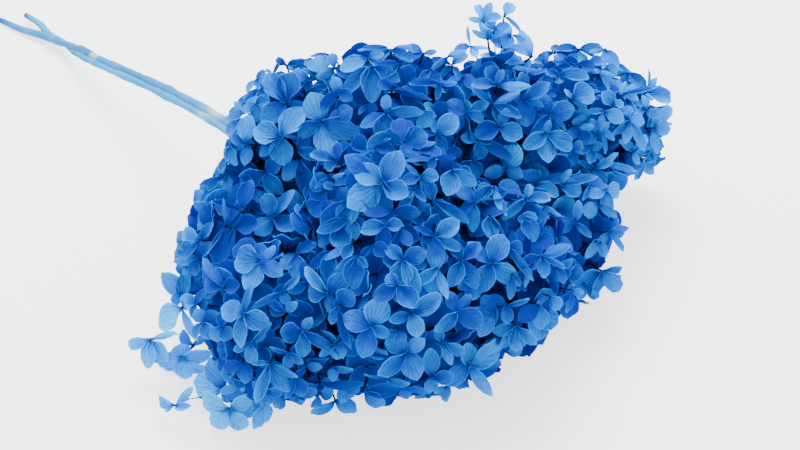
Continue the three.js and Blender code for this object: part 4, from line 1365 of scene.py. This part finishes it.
def build_branchlets(name, spray, targets, radius, materials):
    """A spray's own stalk, from its limb, and the thin branchlets that part from it."""
    middle = Vector(spray.middle)
    foot = nearest_on_limb(middle, spray.limb)
    start = foot + (middle - foot).normalized() * STALK_START
    stalk_radii = [stalk_radius * MM for stalk_radius in STALK_RADII]
    pieces = [tube(f"{name}_stalk", [at(start), at(middle)], stalk_radii, BRANCHLET_SIDES)]
    for i, target in enumerate(targets):
        target.z = max(target.z, FLOOR_CLEARANCE)
        bend = middle.lerp(target, 0.5) + Vector((0, 0, -BRANCHLET_SAG))
        bend.z = max(bend.z, FLOOR_CLEARANCE)
        line = smooth_line([at(middle), at(bend), at(target)], BRANCHLET_STEPS)
        radii = tapered(radius * MM, BRANCHLET_TAPER, len(line))
        pieces.append(tube(f"{name}_branchlet_{i}", line, radii, BRANCHLET_SIDES))
    for piece in pieces:
        piece.data.materials.append(materials["stalk"])
    return pieces


def nearest_on_limb(middle, limb):
    """The point of a limb, past its very start, that is nearest to a spray's middle."""
    line = smooth_line([Vector(point) for point in LIMBS[limb]], SEARCH_STEPS)
    return min(line[SEARCH_START:], key=lambda point: (point - middle).length)


def build_dense_spray(name, taken, carried, covered, forms, look, materials):
    """The florets read from the photo that this spray carries, the others, and branchlets."""
    spray = DENSE_SPRAYS[name]
    draw = random.Random(f"{name} {SEED}")
    pieces = []
    outer_targets = []
    for seen, place, outward in carried[name]:
        pieces += seen_floret(seen, place, outward, forms, draw)
        if (place - Vector(spray.middle)).length > spray.reach + STANDS_OUT:
            outer_targets.append(place - seen_facing(outward) * DENSE_STALK_DEPTH)
    inner_targets = []
    for layer, place, direction in spray_places(name, taken, covered, draw):
        form = draw.choice(forms["fine"] if layer == 0 else forms["plain"])
        width = look.width / MM * draw.uniform(1 - look.spread, 1 + look.spread)
        facing = direction + jitter(draw, look.unrest)
        # Painted shade by layer, and paler florets in some sprays
        painted_light_and_tone = draw.uniform(*LAYERS[layer].painted_shades) + PALER_SPRAYS.get(name, 0)
        pieces.append(
            floret_at(form, place, facing, width, draw.uniform(*SPINS), draw.random(), painted_light_and_tone))
        if layer == len(LAYERS) - 1:
            inner_targets.append(place - direction * DENSE_STALK_DEPTH)
    held = min(INNER_BRANCHLETS, len(inner_targets))
    targets = outer_targets + draw.sample(inner_targets, held)
    pieces += build_branchlets(name, spray, targets, DENSE_BRANCHLET, materials)
    return join(pieces, f"{name}_florets")


def build_loose_spray(name, forms, materials):
    """The florets of a loose spray, each on its own branchlet, in the paler material."""
    spray = LOOSE_SPRAYS[name]
    draw = random.Random(f"{name} {SEED}")
    pieces = []
    targets = []
    for seen in spray.florets:
        place = place_at_height(seen.eye, seen.height)
        outward = (place - Vector(spray.middle)).normalized()
        pieces += seen_floret(seen, place, outward, forms, draw)
        targets.append(place - seen_facing(outward) * LOOSE_STALK_DEPTH)
    pieces += build_branchlets(name, spray, targets, LOOSE_BRANCHLET, materials)
    joined = join(pieces, f"{name}_florets")
    for i, material in enumerate(joined.data.materials):
        if material == materials["sepal"]:
            joined.data.materials[i] = materials["loose_sepal"]
    return joined


# The stem

STEM_LEAN = 0.84
NECK_TWIST = math.pi / 2
NECK_SHARE = 0.14
SHOOT_OFFSET = 1.4
SHOOT_SIDES = 12
STEM_STEPS = 14
TAIL_STEPS = 6

# How a shoot's radius varies: it swells at its nodes, is thin at one place and swells where it
# turns into its tail. Places and widths are shares of the stem's length.
NODE_SHARES = (0.17, 0.52)
NODE_WIDTH = 0.012
NODE_SWELL = 0.3
THIN_SHARE = 0.03
THIN_WIDTH = 0.04
THINNING = 0.2
TAIL_SWELL = 1.35
TAIL_TAPER = 0.5

# The limbs inside the head
LIMB_RADIUS = 1.9
LIMB_TAPER = 0.3
LIMB_SIDES = 10
LIMB_STEPS = 8

# A bud scale, in shares of its radius: its line rises from low, and it narrows from its breadth
SCALE_LOW = 0.55
SCALE_RISE = 0.5
SCALE_BREADTH = 0.85
SCALE_NARROWING = 0.6
SCALE_SIDES = 8


class Wave(NamedTuple):
    """A wave of a shoot's radius: its height, how fast it goes, and its shift for each shoot."""

    height: float
    pace: float
    shift: float


WAVES = (Wave(0.07, 41, 1), Wave(0.05, 97, 2))


class Mark(NamedTuple):
    """A mark on the bark: its place along the stem and its reach, in millimetres, and strength."""

    along: float
    reach: float
    strength: float


class BudScale(NamedTuple):
    """A dead bud scale: where along the stem it starts and ends, and its size."""

    start: float
    end: float
    size: float


UPPER_MARKS = {
    "bare": (Mark(-27, 6, 0.8), Mark(-178, 4, 0.7)),
    "dark": (Mark(-128, 16, 0.35), Mark(-187, 3, 1.0), Mark(-292, 7, 0.9), Mark(-90, 3, 0.6)),
}
LOWER_MARKS = {
    "bare": (Mark(-34, 5, 0.45), Mark(-226, 7, 0.4)),
    "dark": (Mark(-283, 5, 0.9), Mark(-89, 3, 0.5), Mark(-205, 8, 0.3)),
}
BUD_SCALES = (BudScale(-203, -185, 1.0), BudScale(-100, -88, 0.8))


def shoot_points(sign, end, radius):
    """One shoot's middle line in millimetres, from its cut end to the head, and its radii."""
    line = smooth_line([Vector(point) for point in STEM_LINE], STEM_STEPS)
    points = []
    radii = []
    for i, point in enumerate(line):
        share = i / (len(line) - 1)
        neck = max(0, 1 - share / NECK_SHARE)
        lean = STEM_LEAN + NECK_TWIST * neck * neck * (3 - 2 * neck)
        along = (line[min(i + 1, len(line) - 1)] - line[max(i - 1, 0)]).normalized()
        side = Vector((0, 0, 1)).cross(along).normalized()
        up = along.cross(side)
        offset = side * math.cos(lean) + up * math.sin(lean)
        points.append(point + offset * (sign * SHOOT_OFFSET))
        swell = NODE_SWELL * sum(hump(share, node, NODE_WIDTH) for node in NODE_SHARES)
        thin = THINNING * hump(share, THIN_SHARE, THIN_WIDTH)
        ripple = sum(
            wave.height * math.sin(share * wave.pace + wave.shift * sign) for wave in WAVES)
        radii.append(radius * (1 + swell - thin + ripple) * MM)
    # The tail's line starts inside the stem, so that it goes on smoothly from the stem's end
    tail_line = smooth_line([points[1], points[0], *[Vector(point) for point in end]], TAIL_STEPS)
    tail = tail_line[TAIL_STEPS + 1:]
    points = tail[::-1] + points
    tail_radii = [
        radius * MM * (TAIL_SWELL - TAIL_TAPER * k / (len(tail) - 1)) for k in range(len(tail))]
    radii = tail_radii[::-1] + radii
    return points, radii


def mark_bark(piece, tint, marks):
    """Notes how a shoot is dyed, and where along it the bark is bare or dark."""
    set_share(piece, "tint", tint)
    for name in ("bare", "dark"):
        data = piece.data.attributes.new(name, "FLOAT", "POINT").data
        for vert in piece.data.vertices:
            along = vert.co.x / MM - HEAD_ENTRY.x
            data[vert.index].value = max(
                [mark.strength * hump(along, mark.along, mark.reach)
                 for mark in marks.get(name, ())], default=0.0)


def build_bud_scale(points, scale, shoot_radius):
    """A small dead bud scale that lies along the upper shoot and ends in a tip."""
    radius = shoot_radius * scale.size
    near = [point for point in points if scale.start <= point.x <= scale.end]
    rise = [radius * (SCALE_LOW + SCALE_RISE * k / (len(near) - 1)) for k in range(len(near))]
    line = [at(point + Vector((0, 0, up))) for point, up in zip(near, rise)]
    shares = [k / (len(line) - 1) for k in range(len(line))]
    radii = [radius * MM * (SCALE_BREADTH - SCALE_NARROWING * share ** 3) for share in shares]
    return tube("bud_scale", line, radii, SCALE_SIDES)


def build_stem(look, materials):
    """The two shoots with their bud scales, and the limbs inside the head."""
    radius = look.shoot_radius / MM
    pieces = []
    shoots = ((1, LONG_END, 1.0, UPPER_MARKS), (-1, SHORT_END, 0.0, LOWER_MARKS))
    for sign, end, tint, marks in shoots:
        points, radii = shoot_points(sign, end, radius)
        shoot = tube("shoot", [at(point) for point in points], radii, SHOOT_SIDES)
        mark_bark(shoot, tint, marks)
        pieces.append(shoot)
        for scale in BUD_SCALES if sign > 0 else ():
            piece = build_bud_scale(points, scale, radius)
            mark_bark(piece, tint, marks)
            pieces.append(piece)
    for limb in LIMBS.values():
        line = smooth_line([Vector(point) for point in limb], LIMB_STEPS)
        radii = tapered(LIMB_RADIUS * MM, LIMB_TAPER, len(line))
        piece = tube("limb", [at(point) for point in line], radii, LIMB_SIDES)
        mark_bark(piece, 1.0, {})
        pieces.append(piece)
    for piece in pieces:
        piece.data.materials.append(materials["stem"])
    return join(pieces, "twin_stem")


# The stage, in metres
FLOOR_SIZE = 12
SKY_COLOUR = (0.93, 0.96, 1, 1)
KEY_PLACE = (-0.35, 0.25, 1.1)
KEY_AIM = Vector((0.1, 0, 0))
KEY_SIZE = 0.8


# Operators

shared = {}


def prepare():
    """Materials and floret forms, made once and used by the operators that model the stem and sprays.
    """
    if not shared:
        look = bpy.context.scene.hydrangea_florets
        shared["materials"] = {
            "sepal": sepal_material("sepal", look.blue, look.pale, look.deep, DENSE_SHINE),
            "loose_sepal": sepal_material(
                "loose_sepal", look.loose, look.palest, look.deep, LOOSE_SHINE),
            "eye": eye_material(look),
            "stalk": stalk_material(look),
            "stem": stem_material(bpy.context.scene.hydrangea_stem),
        }
        shared["forms"] = model_forms(look, shared["materials"])
    return shared


class HYDRANGEA_OT_stem(bpy.types.Operator):
    """Models the two shoots and the limbs inside the head"""

    bl_idname = "hydrangea.stem"
    bl_label = "Stem"

    def execute(self, context):
        stem = build_stem(context.scene.hydrangea_stem, prepare()["materials"])
        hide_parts("stem")
        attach(stem, "root")
        return {"FINISHED"}


class HYDRANGEA_OT_dense_sprays(bpy.types.Operator):
    """Models the crowded sprays that make up the head"""

    bl_idname = "hydrangea.dense_sprays"
    bl_label = "Dense sprays"

    def execute(self, context):
        parts = prepare()
        look = context.scene.hydrangea_florets
        taken = [[] for _ in LAYERS]
        carried, covered = sort_head_florets()
        for name in DENSE_SPRAYS:
            spray = build_dense_spray(
                name, taken, carried, covered, parts["forms"], look, parts["materials"])
            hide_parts(name)
            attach(spray, "root")
        return {"FINISHED"}


class HYDRANGEA_OT_loose_sprays(bpy.types.Operator):
    """Models the loose sprays at the head's left foot and behind its top"""

    bl_idname = "hydrangea.loose_sprays"
    bl_label = "Loose sprays"

    def execute(self, context):
        parts = prepare()
        for name in LOOSE_SPRAYS:
            spray = build_loose_spray(name, parts["forms"], parts["materials"])
            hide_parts(name)
            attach(spray, "root")
        return {"FINISHED"}


class HYDRANGEA_OT_stage(bpy.types.Operator):
    """Sets up the floor, the soft light and the camera"""

    bl_idname = "hydrangea.stage"
    bl_label = "Stage"

    def execute(self, context):
        look = context.scene.hydrangea_stage
        deselect()
        bpy.ops.mesh.primitive_plane_add(size=FLOOR_SIZE, location=(0, 0, 0))
        floor = context.object
        floor.name = "floor"
        floor.data.materials.append(floor_material(look))
        world = bpy.data.worlds.new("soft_sky")
        world.use_nodes = True
        background = world.node_tree.nodes["Background"]
        background.inputs["Color"].default_value = SKY_COLOUR
        background.inputs["Strength"].default_value = look.sky
        context.scene.world = world
        bpy.ops.object.light_add(type="AREA", location=KEY_PLACE)
        key = context.object
        key.name = "key_light"
        key.data.size = KEY_SIZE
        key.data.energy = look.key_power
        key.rotation_euler = (KEY_AIM - key.location).to_track_quat("-Z", "Y").to_euler()
        bpy.ops.object.camera_add(location=at(CAMERA_PLACE))
        camera = context.object
        camera.name = "camera"
        camera.rotation_euler = AHEAD.to_track_quat("-Z", "Y").to_euler()
        camera.data.sensor_width = SENSOR_WIDTH
        camera.data.lens = LENS
        camera.data.clip_start = CLIP_START
        context.scene.camera = camera
        return {"FINISHED"}


class VIEW3D_PT_hydrangea(bpy.types.Panel):
    """Lists the hydrangea's operators and values"""

    bl_label = "Hydrangea"
    bl_idname = "VIEW3D_PT_hydrangea"
    bl_space_type = "VIEW_3D"
    bl_region_type = "UI"
    bl_category = "Hydrangea"

    def draw(self, context):
        for operator in OPERATORS:
            self.layout.operator(operator.bl_idname)
        for group in (context.scene.hydrangea_florets, context.scene.hydrangea_stem,
                      context.scene.hydrangea_stage):
            box = self.layout.box()
            for name in group.__annotations__:
                box.prop(group, name)


OPERATORS = (
    HYDRANGEA_OT_stem,
    HYDRANGEA_OT_dense_sprays,
    HYDRANGEA_OT_loose_sprays,
    HYDRANGEA_OT_stage,
)
GROUPS = {
    "hydrangea_florets": HydrangeaFlorets,
    "hydrangea_stem": HydrangeaStem,
    "hydrangea_stage": HydrangeaStage,
}


def register():
    for group in GROUPS.values():
        bpy.utils.register_class(group)
    for name, group in GROUPS.items():
        setattr(bpy.types.Scene, name, bpy.props.PointerProperty(type=group))
    for operator in OPERATORS:
        bpy.utils.register_class(operator)
    bpy.utils.register_class(VIEW3D_PT_hydrangea)


def unregister():
    bpy.utils.unregister_class(VIEW3D_PT_hydrangea)
    for operator in reversed(OPERATORS):
        bpy.utils.unregister_class(operator)
    for name in GROUPS:
        delattr(bpy.types.Scene, name)
    for group in GROUPS.values():
        bpy.utils.unregister_class(group)


def main():
    register()
    bpy.ops.hydrangea.stem()
    bpy.ops.hydrangea.dense_sprays()
    bpy.ops.hydrangea.loose_sprays()
    bpy.ops.hydrangea.stage()
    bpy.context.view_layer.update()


if __name__ == "__main__":
    main()
